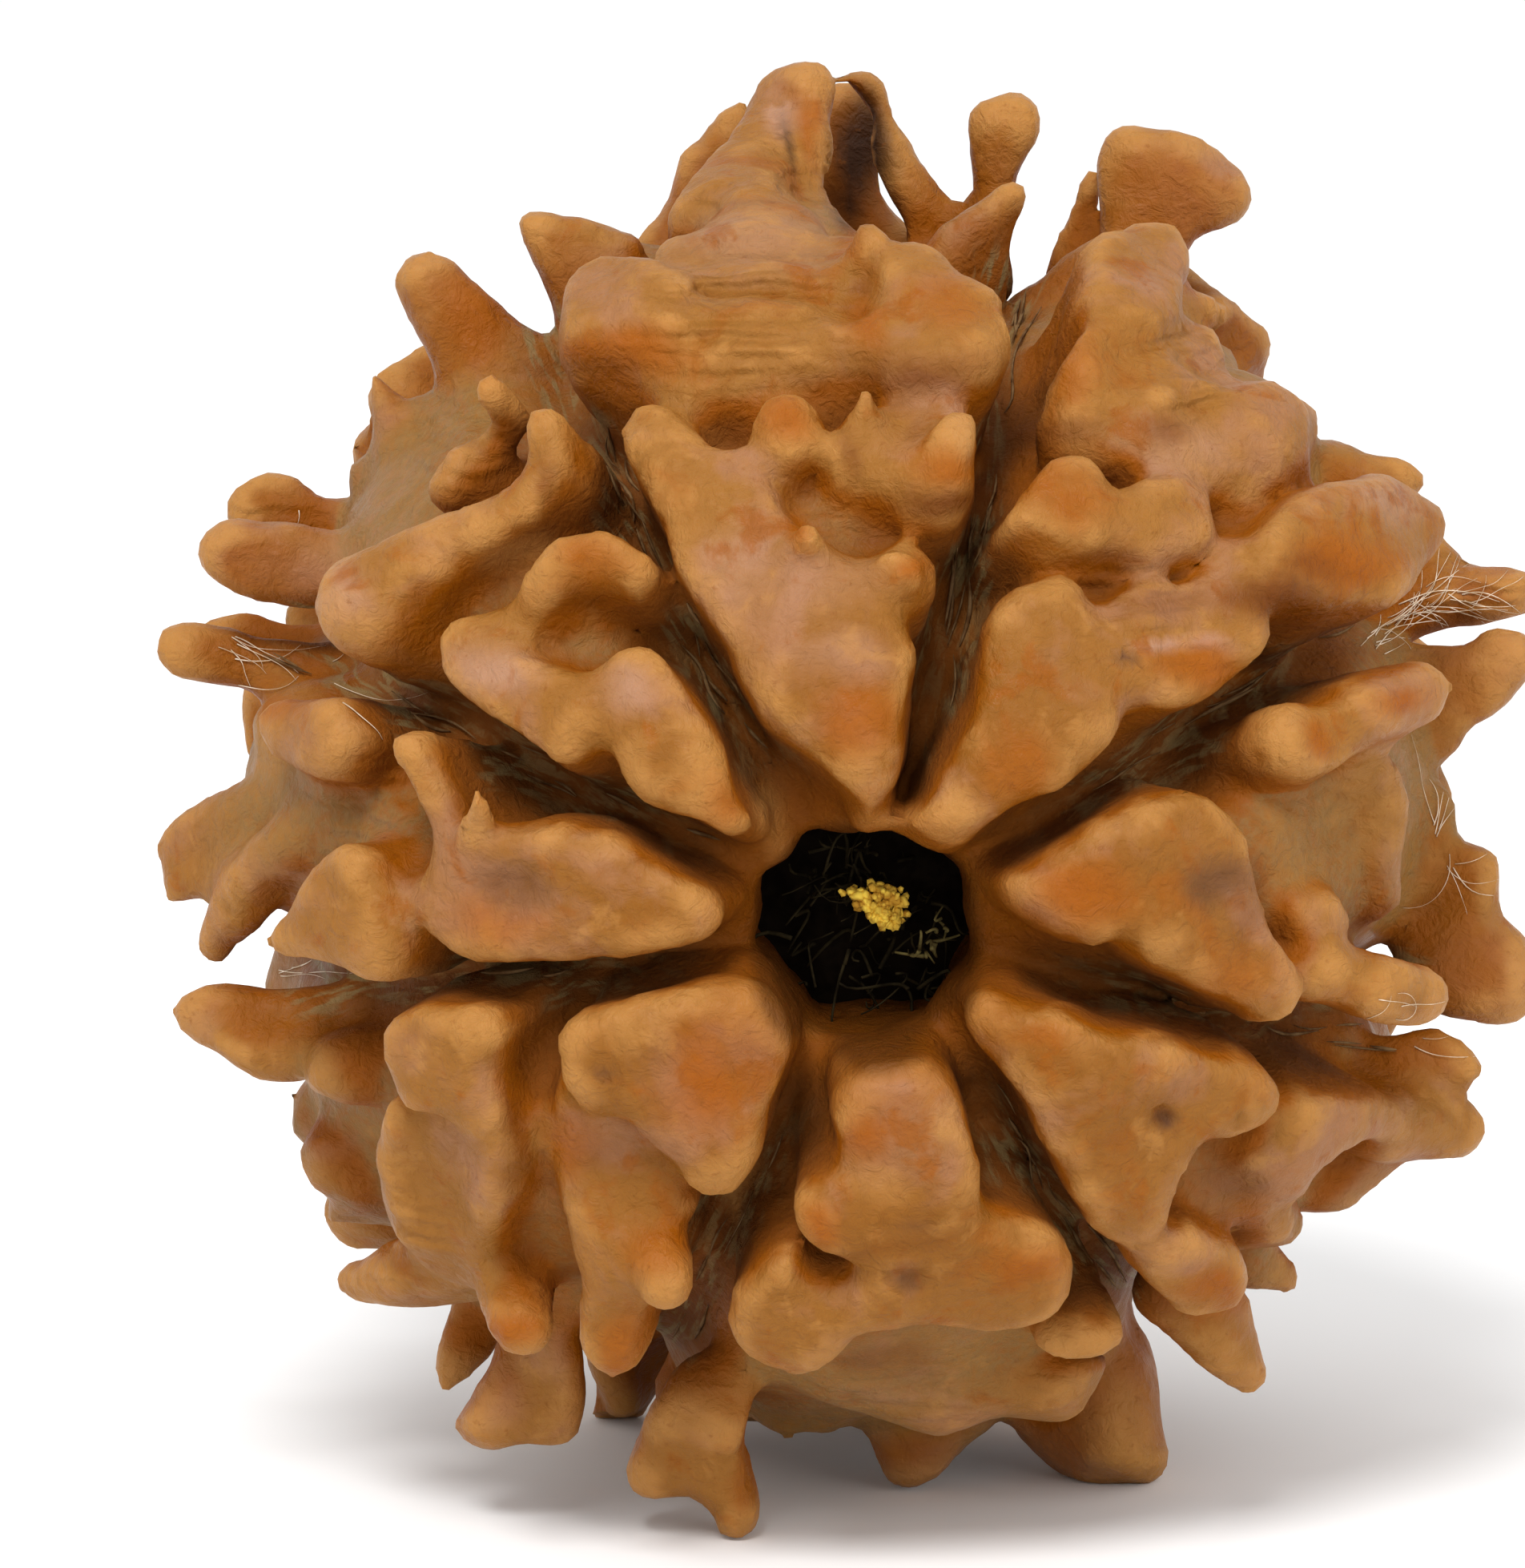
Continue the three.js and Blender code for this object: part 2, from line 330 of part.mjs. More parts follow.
// The same with its faces and clefts
function bodyRadius(x, y, z) {
  const oval = ovalRadius(x, y, z);
  const dx = x * oval - boreAt[0];
  const dz = z * oval - boreAt[1];
  const [past, left] = besideClefts(dx, dz, y);
  const swell = lobeSwell * Math.hypot(x, z) * Math.sin((Math.PI * past) / (past + left));
  const fromBore = Math.hypot(dx, dz);
  const nearMouth = THREE.MathUtils.smoothstep(fromBore, mouthRadius, mouthRadius + 3.5);
  const nearRim = THREE.MathUtils.smoothstep(fromBore, 6.5, 9.5);
  const ground = terrace * nearMouth * (1 - nearRim);
  const fromCleft = THREE.MathUtils.degToRad(Math.min(past, left)) * fromBore;
  const inCleft = Math.exp(-((fromCleft / cleftWidth) ** 2));
  return oval + swell + ground * (1 - inCleft) - cleftDepth * inCleft;
}

// Signed distance in the plane to a closed outline
function outlineDistance(outline, x, y) {
  let nearest = Infinity;
  let inside = false;
  for (let i = 0, j = outline.length - 1; i < outline.length; j = i, i += 1) {
    const [ax, ay] = outline[i];
    const [bx, by] = outline[j];
    const ex = bx - ax;
    const ey = by - ay;
    const t = THREE.MathUtils.clamp(((x - ax) * ex + (y - ay) * ey) / (ex * ex + ey * ey), 0, 1);
    nearest = Math.min(nearest, Math.hypot(x - ax - t * ex, y - ay - t * ey));
    if (ay > y !== by > y && x < ax + ((y - ay) / ey) * ex) inside = !inside;
  }
  return inside ? -nearest : nearest;
}

// A rounded block: side is the distance outside its walls, top the distance above its top
function roundedBlock(side, top, edge) {
  const a = side + edge;
  const b = top + edge;
  return Math.min(Math.max(a, b), 0) + Math.hypot(Math.max(a, 0), Math.max(b, 0)) - edge;
}

// A flat map of the directions round a place on the body, in mm there
function mapAround(place) {
  const out = place.clone().normalize();
  const east = new THREE.Vector3(0, 1, 0).cross(out).normalize();
  const north = out.clone().cross(east);
  const radius = place.length();
  return (v) => {
    const s = radius / v.dot(out);
    return [v.dot(east) * s, v.dot(north) * s];
  };
}

const wallTaper = 0.06; // how much a wall leans out for each mm down
const lip = 0.12; // how far an island's wall stands out past the line of its top
const deepestWall = 2.5;

function plateShape(tops, rise, edge) {
  const middle = tops.reduce((sum, p) => sum.add(p), new THREE.Vector3()).divideScalar(tops.length);
  const map = mapAround(middle);
  const outline = tops.map(map);
  const distance = (p) => {
    const r = p.length();
    const [x, y] = map(p);
    const top = r - ovalRadius(p.x / r, p.y / r, p.z / r) - rise;
    const taper = wallTaper * THREE.MathUtils.clamp(-top, 0, deepestWall);
    return roundedBlock(outlineDistance(outline, x, y) - lip - taper, top, edge);
  };
  return { distance, points: tops, reach: 4, rounding: islandBlend };
}

function ridgeShape(tops, rises, widths) {
  const middle = tops.reduce((sum, p) => sum.add(p), new THREE.Vector3()).divideScalar(tops.length);
  const map = mapAround(middle);
  const path = tops.map(map);
  const distance = (p) => {
    const r = p.length();
    const [x, y] = map(p);
    const high = r - ovalRadius(p.x / r, p.y / r, p.z / r);
    let best = Infinity;
    for (let i = 0; i < Math.max(path.length - 1, 1); i += 1) {
      const j = Math.min(i + 1, path.length - 1);
      const [ax, ay] = path[i];
      const ex = path[j][0] - ax;
      const ey = path[j][1] - ay;
      const t = THREE.MathUtils.clamp(((x - ax) * ex + (y - ay) * ey) / (ex * ex + ey * ey || 1), 0, 1);
      const width = THREE.MathUtils.lerp(widths[i], widths[j], t);
      const top = high - THREE.MathUtils.lerp(rises[i], rises[j], t);
      const taper = wallTaper * THREE.MathUtils.clamp(-top, 0, deepestWall);
      const side = Math.hypot(x - ax - t * ex, y - ay - t * ey) - width - taper;
      best = Math.min(best, roundedBlock(side, top, width * 0.85));
    }
    return best;
  };
  return { distance, points: tops, reach: 4 };
}

function fingerShape(points, radii) {
  const distance = (p) => {
    let best = Infinity;
    for (let i = 0; i + 1 < points.length; i += 1) {
      const e = points[i + 1].clone().sub(points[i]);
      const d = p.clone().sub(points[i]);
      const t = THREE.MathUtils.clamp(d.dot(e) / e.lengthSq(), 0, 1);
      const radius = THREE.MathUtils.lerp(radii[i], radii[i + 1], t);
      best = Math.min(best, d.addScaledVector(e, -t).length() - radius);
    }
    return best;
  };
  return { distance, points, reach: 1 + Math.max(...radii) };
}

function paddleShape(outline, depth, thick) {
  const [cx, cy] = view.body;
  const flat = outline.map(([x, y]) => [(x - cx) / view.unitsPerMm, (cy - y) / view.unitsPerMm]);
  const distance = (p) => {
    const near = p.dot(towardsEye);
    const fromEye = p.clone().sub(eye);
    const scale = view.distance / (view.distance - near);
    const x = fromEye.dot(viewRight) * scale + (view.middle[0] - cx) / view.unitsPerMm;
    const y = fromEye.dot(viewUp) * scale + (cy - view.middle[1]) / view.unitsPerMm;
    return roundedBlock(outlineDistance(flat, x, y), Math.abs(near - depth) - thick / 2, thick * 0.42);
  };
  return { distance, points: outline.map(([x, y]) => atDepth(x, y, depth)), reach: 1 + thick / 2 };
}

const faceRelief = [
  ...plates.map((p) => plateShape(p.outline.map(([x, y]) => atRise(x, y, p.rise)), p.rise, 0.5)),
  ...ridges.map((line) => ridgeShape(
    line.map(([x, y, rise]) => atRise(x, y, rise)), line.map((p) => p[2]), line.map((p) => p[3]))),
  ...fingers.map((line) => fingerShape(
    line.map(([x, y, rise]) => atRise(x, y, rise)), line.map((p) => p[3]))),
  ...horns.map((line) => fingerShape(
    line.map(([x, y, depth]) => atDepth(x, y, depth)), line.map((p) => p[3]))),
  ...paddles.map((p) => paddleShape(p.outline, p.depth, p.thick)),
];

// The whole stone's outline in the face view
const skyline = [
  [945, 95], [985, 75], [1020, 75], [1085, 82], [1110, 100], [1135, 180], [1170, 213], [1205, 200],
  [1207, 145], [1250, 113], [1295, 145], [1275, 225], [1290, 325], [1318, 300], [1345, 230], [1402, 162],
  [1450, 160], [1560, 212], [1567, 245], [1497, 305], [1475, 385], [1535, 382], [1545, 465], [1600, 485],
  [1640, 510], [1700, 562], [1750, 567], [1820, 630], [1810, 680], [1904, 710], [1925, 830], [1860, 897],
  [1800, 965], [1830, 1055], [1870, 1055], [1860, 1130], [1925, 1210], [1905, 1275], [1850, 1300],
  [1850, 1405], [1755, 1447], [1700, 1500], [1600, 1555], [1570, 1630], [1580, 1720], [1535, 1765],
  [1430, 1665], [1455, 1820], [1380, 1853], [1300, 1815], [1250, 1780], [1140, 1848], [1085, 1790],
  [985, 1780], [950, 1765], [945, 1880], [925, 1903], [800, 1868], [720, 1830], [700, 1790], [600, 1817],
  [545, 1755], [520, 1620], [415, 1595], [375, 1440], [350, 1355], [230, 1270], [220, 1230], [300, 1195],
  [175, 1100], [330, 960], [310, 860], [205, 820], [330, 770], [250, 690], [310, 610], [390, 600],
  [480, 540], [445, 465], [515, 500], [500, 330], [545, 320], [650, 400], [690, 430], [700, 350],
  [640, 275], [800, 290], [860, 180], [905, 130],
];

// The hollow under the top arch, which stays open to the face view
const archWindow = [[1035, 90], [1120, 90], [1150, 300], [1035, 300]];

// A small repeatable random source, from 0 to 1
function makeRandom(start) {
  let state = start;
  return () => {
    state = (state * 48271) % 2147483647;
    return state / 2147483647;
  };
}

// A unit direction, from the angle off the showing mouth and the angle round the bore
function toward(polar, turn) {
  const out = Math.sin(polar);
  return new THREE.Vector3(out * Math.cos(turn), -Math.cos(polar), out * Math.sin(turn));
}

// A broad island on each face beside the far mouth: degrees off the showing mouth, share of the width
const farIsland = [[156, 0.5], [148, 0.26], [136, 0.2], [124, 0.22], [114, 0.34], [111, 0.52], [115, 0.7],
  [125, 0.8], [137, 0.8], [149, 0.72]];

function growIslands(between) {
  return clefts.map((start, n) => {
    const width = (clefts[(n + 1) % clefts.length] - start + 360) % 360;
    const rise = between(1.7, 2.2);
    const tops = farIsland.map(([fromMouth, share]) => {
      const polar = THREE.MathUtils.degToRad(fromMouth + between(-3.5, 3.5));
      const turn = THREE.MathUtils.degToRad(start + width * (share + between(-0.06, 0.06)));
      const v = toward(polar, turn);
      return v.multiplyScalar(ovalRadius(v.x, v.y, v.z) + rise);
    });
    return plateShape(tops, rise, 0.32);
  });
}

// Knobs in rows round the stone, where the relief so far leaves room and inside the outline
function growKnobs(between, taken) {
  const [cx, cy] = view.body;
  const inFace = ([x, y]) => [(x - cx) / view.unitsPerMm, (cy - y) / view.unitsPerMm];
  const flatSkyline = skyline.map(inFace);
  const flatWindow = archWindow.map(inFace);
  const depthIn = (outline, v) => outlineDistance(outline, v.dot(viewRight), v.dot(viewUp));
  const onStone = (v, rise) => v.clone().multiplyScalar(bodyRadius(v.x, v.y, v.z) + rise);
  const knobs = [];
  clefts.forEach((start, n) => {
    const width = (clefts[(n + 1) % clefts.length] - start + 360) % 360;
    let last = null;
    for (let row = 0; row < 6; row += 1) {
      const fromMouth = THREE.MathUtils.degToRad(98 + 11 * row);
      const room = THREE.MathUtils.degToRad(width) * bodyGirth * Math.sin(fromMouth) - 1.6;
      const count = Math.max(1, Math.round(room / 2.3));
      for (let i = 0; i < count; i += 1) {
        const share = (i + 0.5 + between(-0.22, 0.22) + 0.25 * (row % 2 ? 1 : -1)) / count;
        const turn = THREE.MathUtils.degToRad(start + width * THREE.MathUtils.clamp(share, 0.14, 0.86));
        const lean = between(-0.12, 0.12);
        const polar = fromMouth + between(-0.06, 0.06);
        const radius = between(0.45, 0.75);
        let rise = between(0.7, 1.7);
        let tip = null;
        for (; rise > 0; rise -= 0.2) {
          tip = onStone(toward(polar, turn + lean), rise);
          if (depthIn(flatSkyline, tip) < -radius - 0.1 && depthIn(flatWindow, tip) > radius) break;
        }
        const foot = onStone(toward(polar, turn), -0.6);
        if (rise > 0 && !taken.some((shape) => shape.distance(tip) < radius * 0.6)) {
          knobs.push(fingerShape([foot, tip], [radius * 1.5, radius]));
          if (last && last.distanceTo(tip) < 4.2) {
            const low = [last, tip].map((v) => v.clone().multiplyScalar(1 - 0.5 / v.length()));
            knobs.push(fingerShape(low, [0.6, radius]));
          }
          last = tip;
        }
      }
    }
  });
  return knobs;
}

// The stone as a field of signed distances on a grid
function makeField(relief, step) {
  const span = 14.2;
  const size = Math.ceil((2 * span) / step) + 1;
  const at = (i) => i * step - span;
  const values = new Float32Array(size ** 3);
  const p = new THREE.Vector3();
  const index = (i, j, k) => (k * size + j) * size + i;
  for (let k = 0; k < size; k += 1) {
    for (let j = 0; j < size; j += 1) {
      for (let i = 0; i < size; i += 1) {
        p.set(at(i), at(j), at(k));
        const r = p.length() || 1e-6;
        values[index(i, j, k)] = r - bodyRadius(p.x / r, p.y / r, p.z / r);
      }
    }
  }
  for (const shape of relief) {
    const box = new THREE.Box3().setFromPoints(shape.points).expandByScalar(shape.reach);
    const low = box.min.toArray().map((v) => Math.max(0, Math.ceil((v + span) / step)));
    const high = box.max.toArray().map((v) => Math.min(size - 1, Math.floor((v + span) / step)));
    for (let k = low[2]; k <= high[2]; k += 1) {
      for (let j = low[1]; j <= high[1]; j += 1) {
        for (let i = low[0]; i <= high[0]; i += 1) {
          const n = index(i, j, k);
          const distance = shape.distance(p.set(at(i), at(j), at(k)));
          values[n] = smoothMin(values[n], distance, shape.rounding || blend);
        }
      }
    }
  }
  for (let k = 0; k < size; k += 1) {
    for (let j = 0; j < size; j += 1) {
      for (let i = 0; i < size; i += 1) {
        const dx = at(i) - boreAt[0];
        const dz = at(k) - boreAt[1];
        const rim = bodyHalf - funnelDepth;
        const toMouth = THREE.MathUtils.smoothstep(Math.abs(at(j)), rim - mouthDepth, rim - mouthDepth / 2);
        const nearCleft = Math.exp(-((Math.min(...besideClefts(dx, dz, 0)) / 9) ** 2));
        const radius = THREE.MathUtils.lerp(boreRadius, mouthRadius + mouthNotch * nearCleft, toMouth);
        const across = Math.hypot(dx, dz);
        const n = index(i, j, k);
        values[n] = smoothMax(values[n], radius - across, 0.4);
      }
    }
  }
  return { values, size, step, at, index };
}

// Marching cubes over the field, with one vertex for each crossed grid edge
function meshField(field) {
  const { values, size, at, index } = field;
  const corners = [[0, 0, 0], [1, 0, 0], [1, 1, 0], [0, 1, 0], [0, 0, 1], [1, 0, 1], [1, 1, 1], [0, 1, 1]];
  const edges = [
    [0, 1], [1, 2], [2, 3], [3, 0], [4, 5], [5, 6], [6, 7], [7, 4], [0, 4], [1, 5], [2, 6], [3, 7],
  ];
  const points = [];
  const faces = [];
  const made = new Map();
  for (let k = 0; k < size - 1; k += 1) {
    for (let j = 0; j < size - 1; j += 1) {
      for (let i = 0; i < size - 1; i += 1) {
        const ids = corners.map(([a, b, c]) => index(i + a, j + b, k + c));
        let kind = 0;
        for (let c = 0; c < 8; c += 1) if (values[ids[c]] > 0) kind |= 1 << c;
        if (!edgeTable[kind]) continue;
        const vertexOn = (edge) => {
          const [a, b] = edges[edge];
          const along = corners[a].findIndex((v, axis) => v !== corners[b][axis]);
          const key = Math.min(ids[a], ids[b]) * 3 + along;
          if (!made.has(key)) {
            const t = THREE.MathUtils.clamp(values[ids[a]] / (values[ids[a]] - values[ids[b]]), 0.06, 0.94);
            const mix = (axis, base) =>
              at(base + corners[a][axis]) * (1 - t) + at(base + corners[b][axis]) * t;
            made.set(key, points.length);
            points.push([mix(0, i), mix(1, j), mix(2, k)]);
          }
          return made.get(key);
        };
        for (let n = kind * 16; triTable[n] !== -1; n += 3) {
          faces.push([vertexOn(triTable[n]), vertexOn(triTable[n + 1]), vertexOn(triTable[n + 2])]);
        }
      }
    }
  }
  return { points, faces };
}

// Keeps the largest connected piece
function largestPiece({ points, faces }) {
  const parent = points.map((_, i) => i);
  const find = (i) => {
    let root = i;
    while (parent[root] !== root) root = parent[root];
    while (parent[i] !== root) [parent[i], i] = [root, parent[i]];
    return root;
  };
  for (const [a, b, c] of faces) {
    parent[find(a)] = find(b);
    parent[find(b)] = find(c);
  }
  const counts = new Map();
  for (const [a] of faces) counts.set(find(a), (counts.get(find(a)) || 0) + 1);
  const main = [...counts].reduce((best, entry) => (entry[1] > best[1] ? entry : best))[0];
  return { points, faces: faces.filter(([a]) => find(a) === main) };
}

// Thins the mesh by folding the edges that matter least, keeping it one closed surface
function thin({ points, faces }, target) {
  const place = points.map((p) => new THREE.Vector3(...p));
  const rim = points.map(() => new Set()); // the faces round each point
  faces.forEach((f, n) => f.forEach((v) => rim[v].add(n)));
  const planeOf = (f) => {
    const [a, b, c] = f.map((v) => place[v]);
    const normal = b.clone().sub(a).cross(c.clone().sub(a));
    const area = normal.length() / 2;
    normal.normalize();
    return { normal, area, d: -normal.dot(a) };
  };
  // A quadric is the ten numbers of a summed squared distance to planes
  const quadric = points.map(() => new Float64Array(10));
  faces.forEach((f) => {
    const { normal: { x, y, z }, area, d } = planeOf(f);
    const terms = [x * x, x * y, x * z, x * d, y * y, y * z, y * d, z * z, z * d, d * d];
    f.forEach((v) => terms.forEach((term, i) => { quadric[v][i] += term * area; }));
  });
  const errorAt = (q, { x, y, z }) => q[0] * x * x + 2 * q[1] * x * y + 2 * q[2] * x * z + 2 * q[3] * x
    + q[4] * y * y + 2 * q[5] * y * z + 2 * q[6] * y + q[7] * z * z + 2 * q[8] * z + q[9];
  const stamp = points.map(() => 0);
  const heap = [];
  const swap = (i, j) => { [heap[i], heap[j]] = [heap[j], heap[i]]; };
  const push = (entry) => {
    let i = heap.push(entry) - 1;
    while (i && heap[(i - 1) >> 1].cost > heap[i].cost) {
      swap(i, (i - 1) >> 1);
      i = (i - 1) >> 1;
    }
  };
  const pop = () => {
    swap(0, heap.length - 1);
    const top = heap.pop();
    for (let i = 0; ;) {
      let least = i;
      for (const child of [2 * i + 1, 2 * i + 2]) {
        if (child < heap.length && heap[child].cost < heap[least].cost) least = child;
      }
      if (least === i) return top;
      swap(i, least);
      i = least;
    }
  };
  const offer = (a, b) => {
    const q = quadric[a].map((v, i) => v + quadric[b][i]);
    const solver = new THREE.Matrix3().set(q[0], q[1], q[2], q[1], q[4], q[5], q[2], q[5], q[7]);
    const middle = place[a].clone().add(place[b]).multiplyScalar(0.5);
    const length = place[a].distanceTo(place[b]);
    let best = middle;
    if (Math.abs(solver.determinant()) > 1e-5 * (q[0] + q[4] + q[7]) ** 3) {
      const ideal = new THREE.Vector3(-q[3], -q[6], -q[8]).applyMatrix3(solver.invert());
      if (ideal.distanceTo(middle) < length) best = ideal;
    }
    const cost = errorAt(q, best) + 1e-5 * length * length;
    push({ a, b, best, cost, when: stamp[a] + stamp[b], q });
  };
  const neighbours = (v) => new Set([...rim[v]].flatMap((n) => faces[n]).filter((w) => w !== v));
  const turns = (v, other, best) => [...rim[v]].some((n) => {
    if (faces[n].includes(other)) return false;
    const before = planeOf(faces[n]);
    const [a, b, c] = faces[n].map((w) => (w === v ? best : place[w]));
    const normal = b.clone().sub(a).cross(c.clone().sub(a));
    const longest = Math.max(a.distanceToSquared(b), b.distanceToSquared(c), c.distanceToSquared(a));
    return normal.length() < 0.06 * longest || normal.normalize().dot(before.normal) < 0.35;
  });
  faces.forEach(([a, b, c]) => [[a, b], [b, c], [c, a]].forEach(([p, q]) => { if (p < q) offer(p, q); }));
  let count = faces.length;
  while (count > target && heap.length) {
    const { a, b, best, when, q } = pop();
    if (!rim[a].size || !rim[b].size || when !== stamp[a] + stamp[b]) continue;
    const around = neighbours(a);
    const shared = [...neighbours(b)].filter((v) => around.has(v));
    if (shared.length !== 2 || turns(a, b, best) || turns(b, a, best)) continue;
    for (const n of [...rim[b]]) {
      if (faces[n].includes(a)) {
        faces[n].forEach((v) => rim[v].delete(n));
        faces[n] = null;
        count -= 1;
      } else {
        faces[n] = faces[n].map((v) => (v === b ? a : v));
        rim[a].add(n);
      }
    }
    rim[b].clear();
    place[a].copy(best);
    quadric[a] = q;
    stamp[a] += 1 + stamp[b];
    for (const v of neighbours(a)) offer(a, v);
  }
  return { points: place, faces: faces.filter(Boolean) };
}

function geometryOf({ points, faces }) {
  const geometry = new THREE.BufferGeometry();
  geometry.setAttribute('position', new THREE.Float32BufferAttribute(
    faces.flatMap((f) => f.flatMap((v) => points[v].toArray())), 3));
  return mergeVertices(geometry, 1e-4);
}

// Cuts everything below the floor away, which leaves the flat worn spots
async function cutAtFloor(geometry, floor) {
  const wasm = await Module();
  wasm.setup();
  const solidOf = (g) => {
    const merged = mergeVertices(new THREE.BufferGeometry().setIndex(g.index)
      .setAttribute('position', g.attributes.position), 1e-4);
    return new wasm.Manifold(new wasm.Mesh({
      numProp: 3,
      vertProperties: merged.attributes.position.array,
      triVerts: new Uint32Array(merged.index.array),
    }));
  };
  const deep = 4;
  const below = new THREE.BoxGeometry(40, 40, deep).translate(0, 0, floor - deep / 2);
  const cut = solidOf(geometry).subtract(solidOf(below)).getMesh();
  return new THREE.BufferGeometry()
    .setAttribute('position', new THREE.BufferAttribute(cut.vertProperties.slice(), 3))
    .setIndex(new THREE.BufferAttribute(cut.triVerts.slice(), 1));
}

const random = makeRandom(seed);
const between = (low, high) => low + (high - low) * random();
const laidOut = [...faceRelief, ...growIslands(between)];
const relief = [...laidOut, ...growKnobs(between, laidOut)];
const rough = largestPiece(meshField(makeField(relief, gridStep)));
const geometry = await cutAtFloor(geometryOf(thin(rough, mostTriangles)), -floorDrop);
geometry.computeBoundingBox();
const middle = geometry.boundingBox.getCenter(new THREE.Vector3());
geometry.translate(-middle.x, -middle.y, floorDrop);
geometry.computeVertexNormals();

const stone = new THREE.MeshStandardMaterial({ color: 0xb0713c, roughness: 0.5, metalness: 0 });
const bead = new THREE.Mesh(geometry, stone);
bead.name = 'bead';

const group = new THREE.Group();
group.add(bead);

export default group;
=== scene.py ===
import math

import bpy
import mathutils
import numpy as np
from mathutils import Matrix, Vector
from mathutils.bvhtree import BVHTree


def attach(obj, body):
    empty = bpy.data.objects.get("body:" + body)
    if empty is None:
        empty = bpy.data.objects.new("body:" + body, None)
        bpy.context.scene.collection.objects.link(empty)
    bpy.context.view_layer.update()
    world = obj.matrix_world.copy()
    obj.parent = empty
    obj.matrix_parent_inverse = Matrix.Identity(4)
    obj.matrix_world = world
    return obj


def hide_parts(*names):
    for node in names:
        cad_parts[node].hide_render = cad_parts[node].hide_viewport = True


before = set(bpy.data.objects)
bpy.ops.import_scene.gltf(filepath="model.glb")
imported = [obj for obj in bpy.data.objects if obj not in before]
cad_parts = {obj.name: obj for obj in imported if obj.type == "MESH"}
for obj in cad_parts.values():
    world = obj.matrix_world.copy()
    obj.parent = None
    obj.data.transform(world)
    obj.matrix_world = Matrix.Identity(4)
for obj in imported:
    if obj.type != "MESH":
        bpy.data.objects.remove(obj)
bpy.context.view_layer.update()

mm = 0.001  # everything below is worked out in millimetres, and this brings it to Blender's metres

# The face view of the showing mouth. The relief's x and y below are read in it, 70 of its units to a
# millimetre
faceView = {
    "unitsPerMm": 70,
    "distance": 200,  # from the eye to the body's centre, mm
    "tilt": math.radians(10),  # the eye looks down by this much
    "middle": (952, 979),
    "body": (1050, 1040),
    "longSide": 1958,
}

stone = {
    "girth": 10.3,  # radius of the body, square to the bore
    "half": 9.3,  # half its length along the bore
    "terrace": 0.8,  # how high the ground between the knobs stands
    "terraceStart": 3.5,  # it rises over this much past the mouth, and is gone at the end
    "terraceEnd": (6.5, 9.5),
    "swell": 0.3,
    "cleftDepth": 0.9,
    "cleftWidth": 1.0,
    "funnelDepth": 1.1,
    "funnelReach": 2.7,
    "boreRadius": 1.15,
    "mouthRadius": 1.75,
    "mouthNotch": 0.25,
    "boreAt": (0.38, -0.32),
    "mouthDepth": 6.0,
    "floorDrop": 11.6,
    "blend": 0.45,  # rounding where knobs and ridges grow out of the body, mm
    "islandBlend": 0.2,
    "wallTaper": 0.06,
    "lip": 0.12,
    "deepestWall": 2.5,
    "plateEdge": 0.42,  # rounding of the plates' edges, and of the islands' at the far mouth
    "islandEdge": 0.32,
    "seed": 8,
    "span": 14.2,  # half the side of the grid that the field is worked out on
    "softening": 0.65,
    "cell": 0.204,
}
clefts = np.array([-172, -115, -56, -13, 31, 76, 120, 155])

